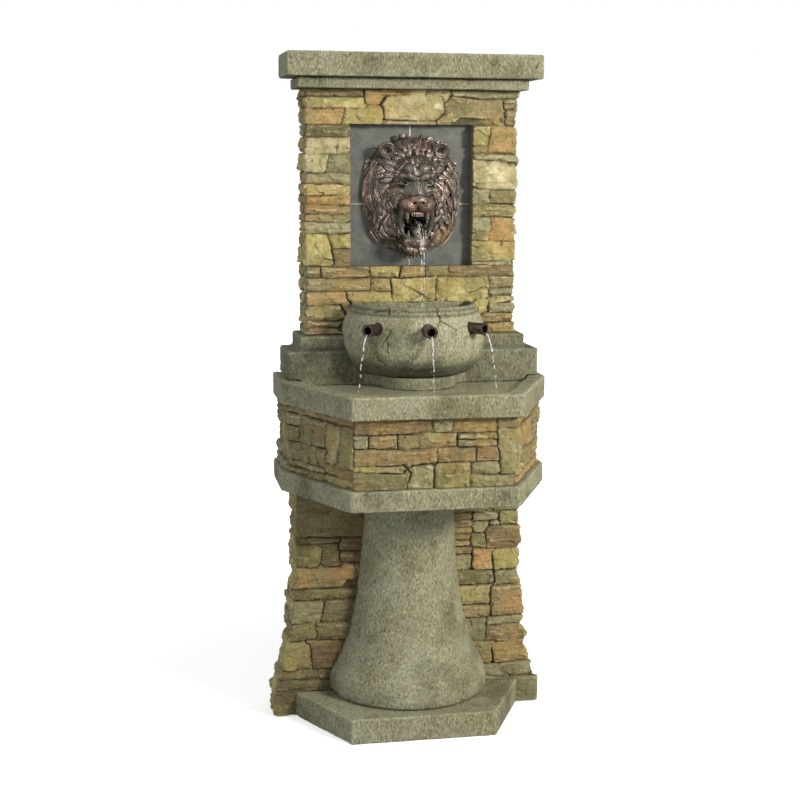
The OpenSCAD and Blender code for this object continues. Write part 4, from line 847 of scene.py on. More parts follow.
# %% Mortar, slate and the small parts, as CAD made them
def plain_look(name, colour, other, rough, metal, grain, depth):
    """A finish on an unchanged piece: two tones in grains of a real size, gloss and a fine relief."""
    made, tree = material(name)
    place = put(tree, "TexCoord").outputs["Object"]
    noise = put(tree, "TexNoise", {"Vector": place, "Scale": 1000 / grain, "Detail": 5, "Roughness": 0.6})
    share = put(tree, "MapRange", {"Value": noise, "From Min": 0.35, "From Max": 0.65})
    colour = put(tree, "MixRGB", {"Fac": share, "Color1": rgb(colour), "Color2": rgb(other)})
    gloss = put(tree, "MapRange", {"Value": noise, "From Min": 0.3, "From Max": 0.7,
                                   "To Min": rough - 0.06, "To Max": rough + 0.06})
    skin = put(tree, "Bump", {"Height": noise, "Distance": depth / 1000, "Strength": 0.6})
    bsdf = put(tree, "BsdfPrincipled", {"Base Color": colour, "Metallic": metal, "Roughness": gloss,
                                        "Normal": skin})
    put(tree, "OutputMaterial", {"Surface": bsdf})
    return made


FINISHES = (
    # name, colour, second colour, roughness, metallic, grain and relief in millimetres, nodes
    ("mortar", "7b7660", "67614a", 0.95, 0, 5, 1.5, ("lower_wall_shell", "basin_shell", "upper_wall_shell")),
    ("slate", "62645e", "4c4e4c", 0.5, 0, 22, 0.6, ("niche_tiles",)),
    ("spout_bronze", "6f5d56", "2f2522", 0.34, 0.85, 4, 0.3, ("spout_left", "spout_front", "spout_right")),
    ("aged_brass", "3a2c18", "1e160c", 0.55, 0.8, 4, 0.3, ("mouth_pipe",)),
    ("rubber", "1d1d1d", "262626", 0.7, 0, 6, 0.2, ("hose", "pump_feet", "lead_grommet")),
    ("steel", "b0b0b0", "9c9c9c", 0.3, 1, 6, 0.1, ("hose_clamps", "rotor_shaft")),
    ("pump_plastic", "16191c", "1f2326", 0.5, 0, 6, 0.2, ("pump_body", "pump_cover")),
    ("ferrite", "2a2a2a", "343434", 0.6, 0.3, 3, 0.2, ("rotor_magnet",)),
    ("impeller_plastic", "d8d8d0", "c8c8be", 0.4, 0, 6, 0.1, ("impeller",)),
    ("dial_plastic", "1f6b3a", "1a5a31", 0.4, 0, 6, 0.1, ("flow_dial",)),
    ("door_plastic", "4a4a44", "3f3f39", 0.6, 0, 2, 0.3, ("access_door",)),
)
for name, colour, other, rough, metal, grain, depth, on in FINISHES:
    look = plain_look(name, colour, other, rough, metal, grain, depth)
    for node in on:
        nodes[node].data.materials.clear()
        nodes[node].data.materials.append(look)
    print(name, "on", ", ".join(on))

# %% Pale grout between the slate tiles
def boxes(name, spans):
    """One mesh of upright boxes, each given as x, y and z spans in millimetres."""
    points, faces = [], []
    sides = ((0, 2, 3, 1), (4, 5, 7, 6), (0, 1, 5, 4), (2, 6, 7, 3), (0, 4, 6, 2), (1, 3, 7, 5))
    for x0, x1, y0, y1, z0, z1 in spans:
        k = len(points)
        points += [(x, y, z) for z in (z0, z1) for y in (y0, y1) for x in (x0, x1)]
        faces += [[k + i for i in f] for f in sides]
    return build(name, np.array(points) / 1000, faces)


tiles = solids_of("niche_tiles")
tiles_lo, tiles_hi = box_mm("niche_tiles")
gap_x = (max(t[:, 0].max() for t in tiles if t[:, 0].max() < 0),
         min(t[:, 0].min() for t in tiles if t[:, 0].min() > 0))
low_tiles = [t for t in tiles if t[:, 2].min() < tiles_lo[2] + 1]
high_tiles = [t for t in tiles if t[:, 2].max() > tiles_hi[2] - 1]
gap_z = (max(t[:, 2].max() for t in low_tiles), min(t[:, 2].min() for t in high_tiles))
face_y, back_y = tiles_lo[1] + 0.1, tiles_hi[1] - 0.4
spans = [(gap_x[0] + 0.1, gap_x[1] - 0.1, face_y, back_y, tiles_lo[2] + 0.3, tiles_hi[2] - 0.3)]
for x0, x1 in ((tiles_lo[0] + 0.3, gap_x[0]), (gap_x[1], tiles_hi[0] - 0.3)):
    spans.append((x0, x1, face_y, back_y, gap_z[0] + 0.1, gap_z[1] - 0.1))
grout = boxes("grout_cross", spans)
settle(grout, plain_look("grout", "f0ebd2", "d2ccb0", 0.9, 0, 4, 0.4))
print("grout gaps", [round(v, 2) for v in (*gap_x, *gap_z)])

# %% [markdown]
# The lion mask. A head with overlapping locks of hair is easiest to model as clay: a block of
# small cells holds the distance to the surface, and balls and tapering strands are added to it or
# dug out of it with a soft edge. The surface is then read off where the distance is nought.

# %% Clay that balls and strands are added to
VOX = 1.1
MIDDLE = 2.5
TILE_Y = box_mm("niche_tiles")[0][1]
MASK_Z = 1142.5
CLAY_LO = np.array([-116.0, -4.0, -140.0])
CLAY_HI = np.array([116.0, 100.0, 140.0])
axes = [np.arange(a, b, VOX) for a, b in zip(CLAY_LO, CLAY_HI)]
clay = np.full([len(a) for a in axes], 12.0, np.float32)


def window(lo, hi):
    """The part of the clay inside a box, with its coordinates."""
    a = np.maximum(((np.array(lo) - CLAY_LO) / VOX).astype(int), 0)
    b = np.minimum(((np.array(hi) - CLAY_LO) / VOX).astype(int) + 2, clay.shape)
    cut = tuple(slice(i, max(j, i)) for i, j in zip(a, b))
    return cut, axes[0][cut[0], None, None], axes[1][None, cut[1], None], axes[2][None, None, cut[2]]


def blend(a, b, soft, dig):
    """Adds the form b to a, or digs it out of a, with an edge rounded over soft."""
    if dig:
        a, b = -a, b
    mix = np.clip(0.5 + 0.5 * (a - b) / soft, 0, 1)
    out = a * (1 - mix) + b * mix - soft * mix * (1 - mix)
    return -out if dig else out


def ball(place, size, soft=4.0, turn=0.0, dig=False):
    """An egg at x, depth, z with three radii, turned in the mask's plane by turn degrees."""
    size = np.array(size, float) * np.ones(3)
    place = np.array(place, float) + (MIDDLE, 0, 0)
    pad = size.max() + soft + 2
    cut, x, y, z = window(place - pad, place + pad)
    x, y, z = x - place[0], y - place[1], z - place[2]
    c, s = math.cos(math.radians(turn)), math.sin(math.radians(turn))
    x, z = x * c + z * s, z * c - x * s
    far = np.sqrt((x / size[0]) ** 2 + (y / size[1]) ** 2 + (z / size[2]) ** 2)
    steep = np.sqrt((x / size[0] ** 2) ** 2 + (y / size[1] ** 2) ** 2 + (z / size[2] ** 2) ** 2)
    clay[cut] = blend(clay[cut], far * (far - 1) / np.maximum(steep, 1e-4), soft, dig)


def strand(places, radii, soft=1.0, dig=False):
    """A bar through the places, its radius changing from one to the next."""
    for a, b, ra, rb in zip(places[:-1], places[1:], radii[:-1], radii[1:]):
        a, b = np.array(a, float) + (MIDDLE, 0, 0), np.array(b, float) + (MIDDLE, 0, 0)
        pad = max(ra, rb) + soft + 1.5
        cut, x, y, z = window(np.minimum(a, b) - pad, np.maximum(a, b) + pad)
        if 0 in clay[cut].shape:
            continue
        way = b - a
        along_it = ((x - a[0]) * way[0] + (y - a[1]) * way[1] + (z - a[2]) * way[2]) / max(way @ way, 1e-6)
        t = np.clip(along_it, 0, 1)
        away = np.sqrt((x - a[0] - t * way[0]) ** 2 + (y - a[1] - t * way[1]) ** 2
                       + (z - a[2] - t * way[2]) ** 2)
        clay[cut] = blend(clay[cut], away - ra - (rb - ra) * t, soft, dig)


def both(form, place, *rest, **more):
    """The same form on the left and on the right; a strand's places are mirrored one by one."""
    form(place, *rest, **more)
    if "turn" in more:
        more = {**more, "turn": -more["turn"]}
    if isinstance(place[0], (tuple, list)):
        form([(-p[0], *p[1:]) for p in place], *rest, **more)
    else:
        form((-place[0], *place[1:]), *rest, **more)


# %% The head's block and the face
def rim(angle):
    """Half width of the mane's outline towards an angle counted from +X."""
    s = np.sin(angle)
    crown, beard = 0.25 * smooth_step(s, 0.2, 0.9), 0.18 * smooth_step(-s, 0.3, 0.95)
    return 104 * (1 + crown + beard + 0.05 * np.exp(-((angle % (2 * math.pi) - 4.71) / 0.15) ** 2))


def bed(x, z):
    """Height of the hair's bed over the tiles; it runs out before the locks do."""
    rho = np.hypot(x, z) / rim(np.arctan2(z, x)) / 0.95
    return np.where(rho < 1, 2 + 54 * np.maximum(1 - rho ** 2, 0) ** 0.66, 2 - 90 * (rho - 1))


x, z = axes[0][:, None, None], axes[2][None, None, :]
clay = np.minimum(clay, ((axes[1][None, :, None] - bed(x, z)) * 0.7)).astype(np.float32)
EGGS = (((0, 38, 46), (46, 36, 40)), ((38, 46, 4), (22, 20, 30)), ((-38, 46, 4), (22, 20, 30)))
for middle, size in EGGS:
    ball(middle, size, 8)
strand([(0, 58, 60), (0, 62, 32), (0, 67, 6)], [14, 15, 17], 8)
both(ball, (20, 56, 14), (13, 15, 15), 7)
both(ball, (15, 68, 60), (14, 8, 11), 6)
both(strand, [(7, 76, 40), (18, 76, 45), (31, 68, 46), (44, 56, 38)], [6, 7, 5.5, 3], 4)
both(ball, (31, 70, 33), (11, 8, 6.5), 3, turn=-12, dig=True)
both(ball, (30.5, 59, 33), 7.6, 1)
both(strand, [(19, 68, 28), (24, 70, 37), (32, 70, 40), (42, 61, 35)], [1.6, 2.6, 2.8, 1.6], 1)
both(strand, [(19, 68, 28), (29, 68.5, 26), (41, 60, 31)], [1.4, 2.0, 1.4], 1)
both(ball, (35, 58, 15), (15, 12, 8), 5, turn=14)
both(ball, (19, 69, -15), (20, 21, 17), 5, turn=16)
ball((0, 80, -6), (18, 12, 12), 4)
strand([(-14, 82, -1), (0, 88, 2), (14, 82, -1)], [3, 4, 3], 3)
both(ball, (9, 90, -11), (4.4, 5, 3.2), 1.2, turn=-30, dig=True)
strand([(-13, 88, -17), (0, 92, -20), (13, 88, -17)], [1.1, 1.4, 1.1], 1, dig=True)
strand([(0, 93, -18), (0, 91, -26), (0, 84, -36)], [1.3, 1.9, 2.0], 1, dig=True)
strand([(1, 74, 84), (1, 74, 66), (1, 77, 46)], [3.4, 3.4, 1.6], 4, dig=True)
both(strand, [(8, 88, 10), (13, 84, 14), (17, 78, 12)], [0.9, 1.3, 0.9], 1, dig=True)
both(strand, [(6, 86, 18), (12, 82, 22), (16, 76, 20)], [0.9, 1.3, 0.9], 1, dig=True)
for level in (-10, -16, -22):
    for step in range(4):
        both(ball, (15 + step * 5.5, 89 - step * step * 1.2, level - step), 1.3, 0.8, dig=True)
        near_end = (14 + step * 5.5, 87.5 - step * step * 1.1, level + 3)
        far_end = (19 + step * 5.5, 86.5 - step * step * 1.1 - 2 * step, level + 2)
        both(strand, [near_end, far_end], [1.4, 1.0], 1)

# %% The open mouth
ball((0, 60, -92), (29, 22, 18), 6)
ball((0, 50, -106), (21, 20, 14), 6)
ball((0, 64, -58), (28, 48, 27), 2.5, dig=True)
both(strand, [(29, 70, -24), (34, 62, -44), (32, 58, -64), (25, 60, -80)], [7, 5.5, 5, 4.5], 2)
strand([(-29, 58, -70), (-20, 70, -83), (0, 76, -89), (20, 70, -83), (29, 58, -70)], [3, 4, 4.5, 4, 3], 1.5)
both(strand, [(22, 74, -31), (21.5, 75, -42), (20.5, 74, -53)], [5, 3.6, 0.9], 0.8)
both(strand, [(17, 70, -86), (18, 71, -76), (18, 71, -67)], [4.4, 3.2, 0.8], 0.8)
strand([(0, 30, -66), (0, 52, -66), (0, 66, -72), (0, 73, -80)], [9, 11, 10, 7], 2)
strand([(0, 48, -54), (0, 66, -61), (0, 78, -76)], [1.2, 1.2, 1], 1.5, dig=True)
for place in (-11, -6.5, -2, 2, 6.5, 11):
    strand([(place, 77 - abs(place) * 0.3, -32), (place, 76 - abs(place) * 0.3, -38.5)], [2.3, 1.4], 0.8)
    out = 73 - abs(place) * 0.3
    strand([(place * 0.9, out, -87), (place * 0.9, out, -79)], [2.0, 1.3], 0.5)

# %% Ears, mane and beard
both(ball, (58, 30, 96), (18, 13, 18), 5)
both(ball, (59, 43, 95), (11, 9, 12), 3, dig=True)
arc = [math.radians(a) for a in range(-30, 195, 20)]
edge = [(58 + 16 * math.cos(a), 32 + 8 * math.sin(a * 0.9 + 0.3), 96 + 17 * math.sin(a)) for a in arc]
both(strand, edge, [3.0] * len(arc), 2)
for side in (-1, 1):
    for curl_r, low, high in ((12, 150, 330), (8.5, 190, 400), (5, 220, 420)):
        turns = np.radians(np.linspace(low, high, 8))
        line = [(side * (58 + curl_r * math.cos(a)), 37 + 0.2 * curl_r, 95 + curl_r * math.sin(a))
                for a in turns]
        strand(line, list(np.linspace(2.0, 0.8, 8)), 0.6)
rng = random.Random(5)


def under(x, z):
    """Height of whatever the hair lies on: the bed, the skull or a cheek."""
    high = np.maximum(bed(x, z), 1.0)
    for (ex, ey, ez), (rx, ry, rz) in (*EGGS, ((0, 50, -106), (21, 20, 14))):
        left = 1 - ((x - ex) / rx) ** 2 - ((z - ez) / rz) ** 2
        high = np.maximum(high, np.where(left > 0, ey + ry * np.sqrt(np.maximum(left, 0)), 0))
    return high


def hair(line, width, lift, strands, soft=0.5):
    """A lock of hair along the places x, z: strands side by side that swell and close in a point."""
    line = np.array(line, float)
    t = np.linspace(0, 1, len(line))
    run = np.gradient(line, axis=0)
    run /= np.linalg.norm(run, axis=1)[:, None] + 1e-9
    swell = np.sin(np.pi * (0.14 + 0.86 * t)) ** 0.7
    for k in range(strands):
        s = (k - (strands - 1) / 2) / max((strands - 1) / 2, 0.5)
        off = s * width / 2 * swell
        px, pz = line[:, 0] - run[:, 1] * off, line[:, 1] + run[:, 0] * off
        too_far = np.maximum(np.hypot(px, pz) / rim(np.arctan2(pz, px)) / 1.02, 1)
        px, pz = px / too_far, pz / too_far
        top = under(px, pz) + lift * (1 - 0.55 * t) * swell ** 0.4 - 2.2 * s * s + rng.uniform(-0.7, 0.7)
        strand(np.stack([px, top, pz], 1), width / strands * 0.56 * swell ** 0.6 + 0.45, soft)


def lock(x, z, length, width, lift, sweep, strands=4):
    """A lock that leaves the face, bends down by sweep and waves a little."""
    steps, phase = 9, rng.uniform(0, 6.28)
    side = 1 if x >= 0 else -1
    line = []
    for i in range(steps):
        line.append((x, z))
        radial = math.atan2(z - 20, x)
        fall = radial - side * math.pi / 2
        outwards, downwards = (np.array([math.cos(v), math.sin(v)]) for v in (radial, fall))
        way = outwards * (1 - sweep) + downwards * sweep
        turn = 0.45 * math.sin(phase + 5.2 * i / (steps - 1))
        c, s = math.cos(turn), math.sin(turn)
        way = np.array([way[0] * c - way[1] * s, way[0] * s + way[1] * c])
        way /= np.linalg.norm(way)
        x, z = x + way[0] * length / steps, z + way[1] * length / steps
    hair(line, width, lift, strands)


def ring_of(count, rho, length, width, lift, high, gap=0.0):
    """Locks all round the face at a share rho of the outline; gap leaves the chin free."""
    for i in range(count):
        a = 2 * math.pi * (i + rng.uniform(-0.25, 0.25)) / count
        if abs((a % (2 * math.pi)) - 1.5 * math.pi) < gap:
            continue
        r = rim(a) * (rho + rng.uniform(-0.04, 0.04))
        upward = smooth_step(math.sin(a), 0.35, 0.95)
        lock(r * math.cos(a), r * math.sin(a), length * rng.uniform(0.8, 1.2) * (1 - 0.35 * upward),
             width * rng.uniform(0.85, 1.15), lift, high - (high - 0.15) * upward)


ring_of(40, 0.90, 34, 9.5, 5.0, 0.88, gap=0.12)
ring_of(36, 0.80, 46, 10.0, 7.0, 0.86, gap=0.3)
ring_of(34, 0.68, 46, 9.5, 8.0, 0.80, gap=0.45)
ring_of(30, 0.56, 40, 8.5, 8.0, 0.70, gap=0.65)
# the long locks that frame the head: down the left side and under the chin, and down the right
for line, width in (
        ([(-80, 74), (-93, 52), (-99, 26), (-98, 0), (-90, -24), (-76, -42), (-68, -52)], 13),
        ([(-88, 62), (-101, 34), (-104, 4), (-99, -24), (-88, -44)], 11),
        ([(-84, -30), (-88, -52), (-84, -74), (-72, -90), (-52, -100), (-30, -108), (-12, -122)], 14),
        ([(-72, -40), (-74, -62), (-66, -80), (-48, -90), (-32, -98)], 11),
        ([(-56, -34), (-64, -52), (-58, -70), (-50, -84)], 9),
        ([(76, 72), (91, 52), (99, 28), (101, 4), (96, -20)], 12),
        ([(70, 36), (84, 14), (90, -12), (90, -36), (92, -58), (99, -78)], 13),
        ([(60, 10), (70, -12), (78, -36), (86, -58), (96, -74)], 11),
        ([(98, 8), (102, -14), (98, -38), (92, -56)], 9),
        ([(62, -40), (78, -54), (88, -72), (84, -90), (68, -102), (48, -108)], 13),
        ([(52, -52), (64, -62), (70, -76), (62, -92), (44, -102)], 10)):
    hair(line, width, 12, 5)
for i in range(15):
    a = math.pi * (0.14 + 0.72 * i / 14)
    lock(64 * math.cos(a), 50 + 52 * math.sin(a), 32, 9, 8.0, 0.1, strands=4)
for i in range(17):
    a = math.pi * (0.1 + 0.8 * i / 16)
    lock(40 * math.cos(a), 46 + 28 * math.sin(a), 38, 8, 3.5, 0.08, strands=4)
for i in range(11):
    a = math.pi * (0.2 + 0.6 * i / 10)
    lock(26 * math.cos(a), 50 + 19 * math.sin(a), 24, 5, 1.2, 0.04, strands=3)
for side in (-1, 1):
    for i in range(46):
        a = math.radians(rng.uniform(-62, 74))
        far = rng.uniform(30, 64)
        lock(side * far * math.cos(a), 14 + far * math.sin(a) * 0.9, rng.uniform(15, 24), 4.5, 1.8,
             0.45, strands=3)
for i in range(13):
    x = -30 + 5 * i
    lock(x * 0.9, -99 - 6 * math.cos(x / 20), 34, 6.5, 3 + 11 * min(abs(x) / 22, 1), 0.1, strands=3)
for i in range(9):
    x = -20 + 5 * i
    lock(x, -97 - 4 * math.cos(x / 14), 16, 5, 1.5, 0.05, strands=3)
# the pointed tuft on the right, and curls below it
for line, width in (
        ([(88, -30), (92, -50), (97, -66), (101, -80)], 10),
        ([(70, -52), (80, -58), (84, -70), (78, -80), (70, -78)], 8),
        ([(56, -62), (66, -66), (72, -78), (66, -92), (56, -92)], 8)):
    hair(line, width, 17, 4)
# dark gaps beside the jaw and between the long strands
both(strand, [(37, 44, -22), (41, 40, -48), (38, 36, -72), (30, 34, -96)], [1.5, 4.5, 4.5, 2], 2, dig=True)
for line in ([(66, 34), (78, 12), (86, -14), (93, -44)], [(58, 14), (66, -6), (76, -30), (88, -56)],
             [(52, -4), (60, -22), (66, -38)], [(-80, 58), (-88, 32), (-88, 4), (-80, -20)],
             [(-60, 20), (-70, 2), (-74, -18), (-66, -36)], [(-54, -30), (-70, -50), (-74, -70), (-60, -86)]):
    strand([(px, float(under(px, pz)) + 9, pz) for px, pz in line], [1, 3.4, 3.4, 1], 1.5, dig=True)
clay = np.maximum(clay, -axes[1][None, :, None])
ball((-MIDDLE, 30, -50.5), (10.5, 60, 10.5), 1, dig=True)
print("clay", clay.shape, "cells")


# %% Reading the surface off the clay
def skin_of(field):
    """Surface nets: one point in every cell that the surface crosses, one quad for every crossed edge."""
    inside = field < 0
    corner = [inside[i:i + field.shape[0] - 1, j:j + field.shape[1] - 1, k:k + field.shape[2] - 1]
              for i in (0, 1) for j in (0, 1) for k in (0, 1)]
    some, every = np.logical_or.reduce(corner), np.logical_and.reduce(corner)
    cells = np.argwhere(some & ~every)
    number = np.full(some.shape, -1)
    number[tuple(cells.T)] = np.arange(len(cells))
    total, count = np.zeros((len(cells), 3)), np.zeros(len(cells))
    for axis in range(3):
        step = np.eye(3, dtype=int)[axis]
        others = [np.eye(3, dtype=int)[o] for o in range(3) if o != axis]
        for i in (0, 1):
            for j in (0, 1):
                base = cells + others[0] * i + others[1] * j
                a, b = field[tuple(base.T)], field[tuple((base + step).T)]
                crossed = (a < 0) != (b < 0)
                t = np.where(crossed, a / np.where(crossed, a - b, 1), 0)
                total += np.where(crossed[:, None], base - cells + step * t[:, None], 0)
                count += crossed
    points = cells + total / count[:, None]
    quads = []
    for axis in range(3):
        step = np.eye(3, dtype=int)[axis]
        one, two = [np.eye(3, dtype=int)[(axis + k) % 3] for k in (1, 2)]
        size = np.array(field.shape) - step
        a = inside[:size[0], :size[1], :size[2]]
        b = inside[step[0]:, step[1]:, step[2]:]
        edges = np.argwhere(a != b)
        for other in (one.argmax(), two.argmax()):
            edges = edges[(edges[:, other] > 0) & (edges[:, other] < field.shape[other] - 1)]
        ring = [number[tuple((edges - o).T)] for o in (0 * one, one, one + two, two)]
        quad = np.stack(ring, 1)
        flip = a[tuple(edges.T)]
        quads.append(np.where(flip[:, None], quad, quad[:, ::-1]))
    return points, np.concatenate(quads)


def softened(field, steps):
    for axis in range(3):
        wide = np.pad(field, [(steps + 1, steps) if k == axis else (0, 0) for k in range(3)], mode="edge")
        total = np.cumsum(wide, axis=axis, dtype=np.float64)
        n = field.shape[axis]
        high = np.take(total, range(2 * steps + 1, n + 2 * steps + 1), axis)
        low = np.take(total, range(0, n), axis)
        field = (high - low) / (2 * steps + 1)
    return field


def read_at(field, points):
    base = np.clip(points.astype(int), 0, np.array(field.shape) - 2)
    f = points - base
    out = 0
    for i in (0, 1):
        for j in (0, 1):
            for k in (0, 1):
                w = (f[:, 0] if i else 1 - f[:, 0]) * (f[:, 1] if j else 1 - f[:, 1])
                w = w * (f[:, 2] if k else 1 - f[:, 2])
                out = out + w * field[base[:, 0] + i, base[:, 1] + j, base[:, 2] + k]
    return out


def lobe(x, x_mid, x_wide, z, z_mid, z_wide, power=2):
    """Soft mask, 1 in its middle; a higher power gives it a flatter top and a sharper edge."""
    return np.exp(-((x - x_mid) / x_wide) ** power - ((z - z_mid) / z_wide) ** power)


near = np.clip(clay, -6, 6)
points, quads = skin_of(clay)
close, wide = read_at(softened(near, 1), points), read_at(softened(near, 4), points)
close, wide = close / np.percentile(close, 93), wide / np.percentile(-wide, 93)
place = CLAY_LO + points * VOX
TONES = {"deep": "0b0a09", "body": "575048", "copper": "94705f", "bright": "f0dacf", "green": "62625a",
         "ochre": "a58a5a"}
# Where copper is rubbed bare: x and half width, then z and half height, of each patch
RUBBED = ((-42, 10, 12, 8), (50, 9, 11, 8), (-32, 12, 47, 4), (14, 9, 44, 5), (-96, 10, 10, 44),
          (20, 12, 104, 18))
paint = np.tile(np.array(rgb(TONES["body"])), (len(place), 1))
x, y, z = place.T
across = x - MIDDLE
# short fur over the face: fine grooves that run out from the nose
angle, off = np.arctan2(z + 4, across), np.hypot(across, z + 4)
fur = cloud(np.stack([angle * 9, off / 24, 0 * y], 1), 1.0, 3, 9)
furry = lobe(across, 0, 58, z, 30, 64, 6) * smooth_step(off, 14, 28) * smooth_step(y, 30, 50)
mottle, fleck = cloud(place / 1000, 0.016, 3, 3), cloud(place / 1000, 0.006, 2, 7)
face = lobe(across, 0, 50, z, 36, 50, 4)
muzzle = lobe(across, 0, 37, z, -12, 21, 4) * smooth_step(y, 60, 76)
patches = sum(lobe(x, x_mid, x_wide, z, z_mid, z_wide) for x_mid, x_wide, z_mid, z_wide in RUBBED)
ears = np.exp(-(np.hypot(np.abs(across) - 58, z - 95) / 15) ** 4)
chin = lobe(across, 0, 26, z, -98, 13, 4) * smooth_step(y, 45, 60)
curl = lobe(x, 72, 22, z, -82, 22, 4)
eyes = np.hypot((np.abs(across) - 30.5) / 1.2, z - 33)
mouth = lobe(across, 0, 30, z, -62, 28, 6)
close = close + 0.8 * furry * fur
wear_and_sheen = smooth_step(mottle + 0.5 * fleck + 0.6 * curl, -0.5, 0.3)
# the bright tone on ridges is rubbed copper with painted highlight, and the deep tone in hollows is patina
# with painted shade
for colour, share in (
        ("green", 0.7 * np.maximum(face, 0.8 * mouth) * smooth_step(mottle + fur * 0.6, -0.7, 0.3)),
        ("deep", 0.35 * smooth_step(-mottle - 0.4 * fur, 0.1, 0.8)),
        ("copper", 0.6 * chin * smooth_step(fleck, -0.4, 0.3)),
        ("bright", 0.5 * chin * smooth_step(fleck, 0.1, 0.5)),
        ("copper", 0.75 * muzzle * smooth_step(mottle + 0.5 * fleck, -0.5, 0.3)),
        ("copper", 0.8 * np.clip(patches, 0, 1) * smooth_step(fleck, -0.6, 0.4)),
        ("ochre", 0.65 * curl),
        ("copper", 0.55 * smooth_step(close, 0.3, 0.9) * smooth_step(mottle, -0.2, 0.5)),
        ("bright", 0.85 * (1 - 0.7 * mouth) * (1 - 0.85 * ears) * smooth_step(close, 0.45, 1.25) * wear_and_sheen),
        ("deep", 0.88 * smooth_step(-wide, 0.2, 1.1)), ("deep", 0.65 * smooth_step(-close, 0.25, 1.3)),
        ("green", 0.9 * (eyes < 5.5)), ("deep", 0.85 * np.exp(-((eyes - 6.6) / 1.5) ** 2)),
        ("deep", 0.95 * np.exp(-(eyes / 2.4) ** 4))):
    tone = np.array(rgb(TONES[colour]))
    paint = paint * (1 - share[:, None]) + tone * share[:, None]
y = y + 2.4 * furry * fur + 1.6 * chin * cloud(place / 1000, 0.009, 2, 15)
at = np.stack([x, TILE_Y - y, MASK_Z + z], 1) / 1000
made = build("lion_head", at, quads, paint)
look, tree = material("cast_bronze_patina")
where = put(tree, "TexCoord").outputs["Object"]
tint = put(tree, "Attribute", attribute_name="tint").outputs["Color"]
speck = put(tree, "TexNoise", {"Vector": where, "Scale": 1000 / 2.5, "Detail": 4, "Roughness": 0.6})
share = put(tree, "MapRange", {"Value": speck, "From Min": 0.45, "From Max": 0.3, "To Max": 0.5})
colour = put(tree, "MixRGB", {"Fac": share, "Color1": tint, "Color2": rgb("150e0b")})
gloss = put(tree, "MapRange", {"Value": speck, "From Min": 0.3, "From Max": 0.7,
                               "To Min": 0.34, "To Max": 0.5})
skin = put(tree, "Bump", {"Height": speck, "Distance": 0.00025, "Strength": 0.6})
bsdf = put(tree, "BsdfPrincipled", {"Base Color": colour, "Metallic": 0.55, "Roughness": gloss,
                                    "Normal": skin})
put(tree, "OutputMaterial", {"Surface": bsdf})
settle(made, look, ["lion_mask"])
print("lion head", len(place), "points from", place.min(0).round(1), "to", place.max(0).round(1))


# %% [markdown]
# Water. The pools are calm sheets with rings where the streams land. Each stream is a thin rope
# that necks, swells and breaks into drops as it falls, bent outwards by its speed at the spout.

# %% Pools and streams
def water_look(name, colour, clear, rough):
    """Water is colourless; its pools take the olive of the cast stone, its streams a white foam."""
    made, tree = material(name)
    place = put(tree, "TexCoord").outputs["Object"]
    ripple = put(tree, "TexNoise", {"Vector": place, "Scale": 1000 / 30, "Detail": 2, "Roughness": 0.5})
    skin = put(tree, "Bump", {"Height": ripple, "Distance": 0.0006, "Strength": 0.5})
    bsdf = put(tree, "BsdfPrincipled", {"Base Color": rgb(colour), "Transmission Weight": clear,
                                        "Roughness": rough, "IOR": 1.33, "Normal": skin})
    put(tree, "OutputMaterial", {"Surface": bsdf})
    return made


def fall(start, speed, end_z, steps):
    """Places along a stream from start, in millimetres, with its speed in metres a second."""
    drop = (start[2] - end_z) / 1000
    times = np.linspace(0, math.sqrt(2 * drop / 9.81), steps)
    start, speed = np.array(start, float), np.array(speed, float)
    return start + times[:, None] * speed * 1000 - np.array([0, 0, 4905.0]) * times[:, None] ** 2


def rope(name, places, radius, seed, breaking=0.35, sides=10):
    """A closed skin round the places that necks, swells and breaks into drops."""
    dice = random.Random(seed)
    length = np.concatenate([[0], np.cumsum(np.linalg.norm(np.diff(places, axis=0), axis=1))])
    at = np.arange(0, length[-1], 0.7)
    line = np.stack([np.interp(at, length, places[:, k]) for k in range(3)], 1)
    t = at / length[-1]
    line[:, 0] += 0.8 * np.sin(at / 9 + dice.uniform(0, 6)) * t
    swell = np.zeros(len(at))
    for much, long in ((1, 2.9), (0.7, 1.7), (0.8, 7)):
        swell += much * np.sin(at / long + dice.uniform(0, 6))
    r = radius * (1 - 0.35 * t) * (0.75 + 0.38 * swell * np.minimum(1, t * 3 + 0.15))
    r = np.where(r < radius * (breaking * np.minimum(1, t * 2.5)), 0, r)
    points, faces, open_ring = [], [], None
    turns = [2 * math.pi * i / sides for i in range(sides)]
    for p, size in zip(line, r):
        if size <= 0:
            open_ring = None
            continue
        k = len(points)
        points += [(p[0] + size * math.cos(a), p[1] + size * math.sin(a), p[2]) for a in turns]
        if open_ring is not None:
            faces += [(open_ring + i, open_ring + (i + 1) % sides, k + (i + 1) % sides, k + i)
                      for i in range(sides)]
        open_ring = k
    # caps: each break closes with a pinched ring on either side
    starts = {f[0] - f[0] % sides for f in faces}
    stops = {f[3] - f[3] % sides for f in faces}
    for k in range(0, len(points), sides):
        middle = np.mean(points[k:k + sides], axis=0)
        for lower, here in ((False, k not in stops), (True, k not in starts)):
            if here:
                m = len(points)
                points.append((middle[0], middle[1], middle[2] + (-0.6 if lower else 0.6)))
                ring = [k + i for i in range(sides)]
                for i in range(0, sides, 2):
                    a, b, c = ring[i], ring[(i + 1) % sides], ring[(i + 2) % sides]
                    faces.append((m, c, b, a) if lower else (m, a, b, c))
    faces = [tuple(reversed(f)) for f in faces]
    return build(name, np.array(points) / 1000, faces)


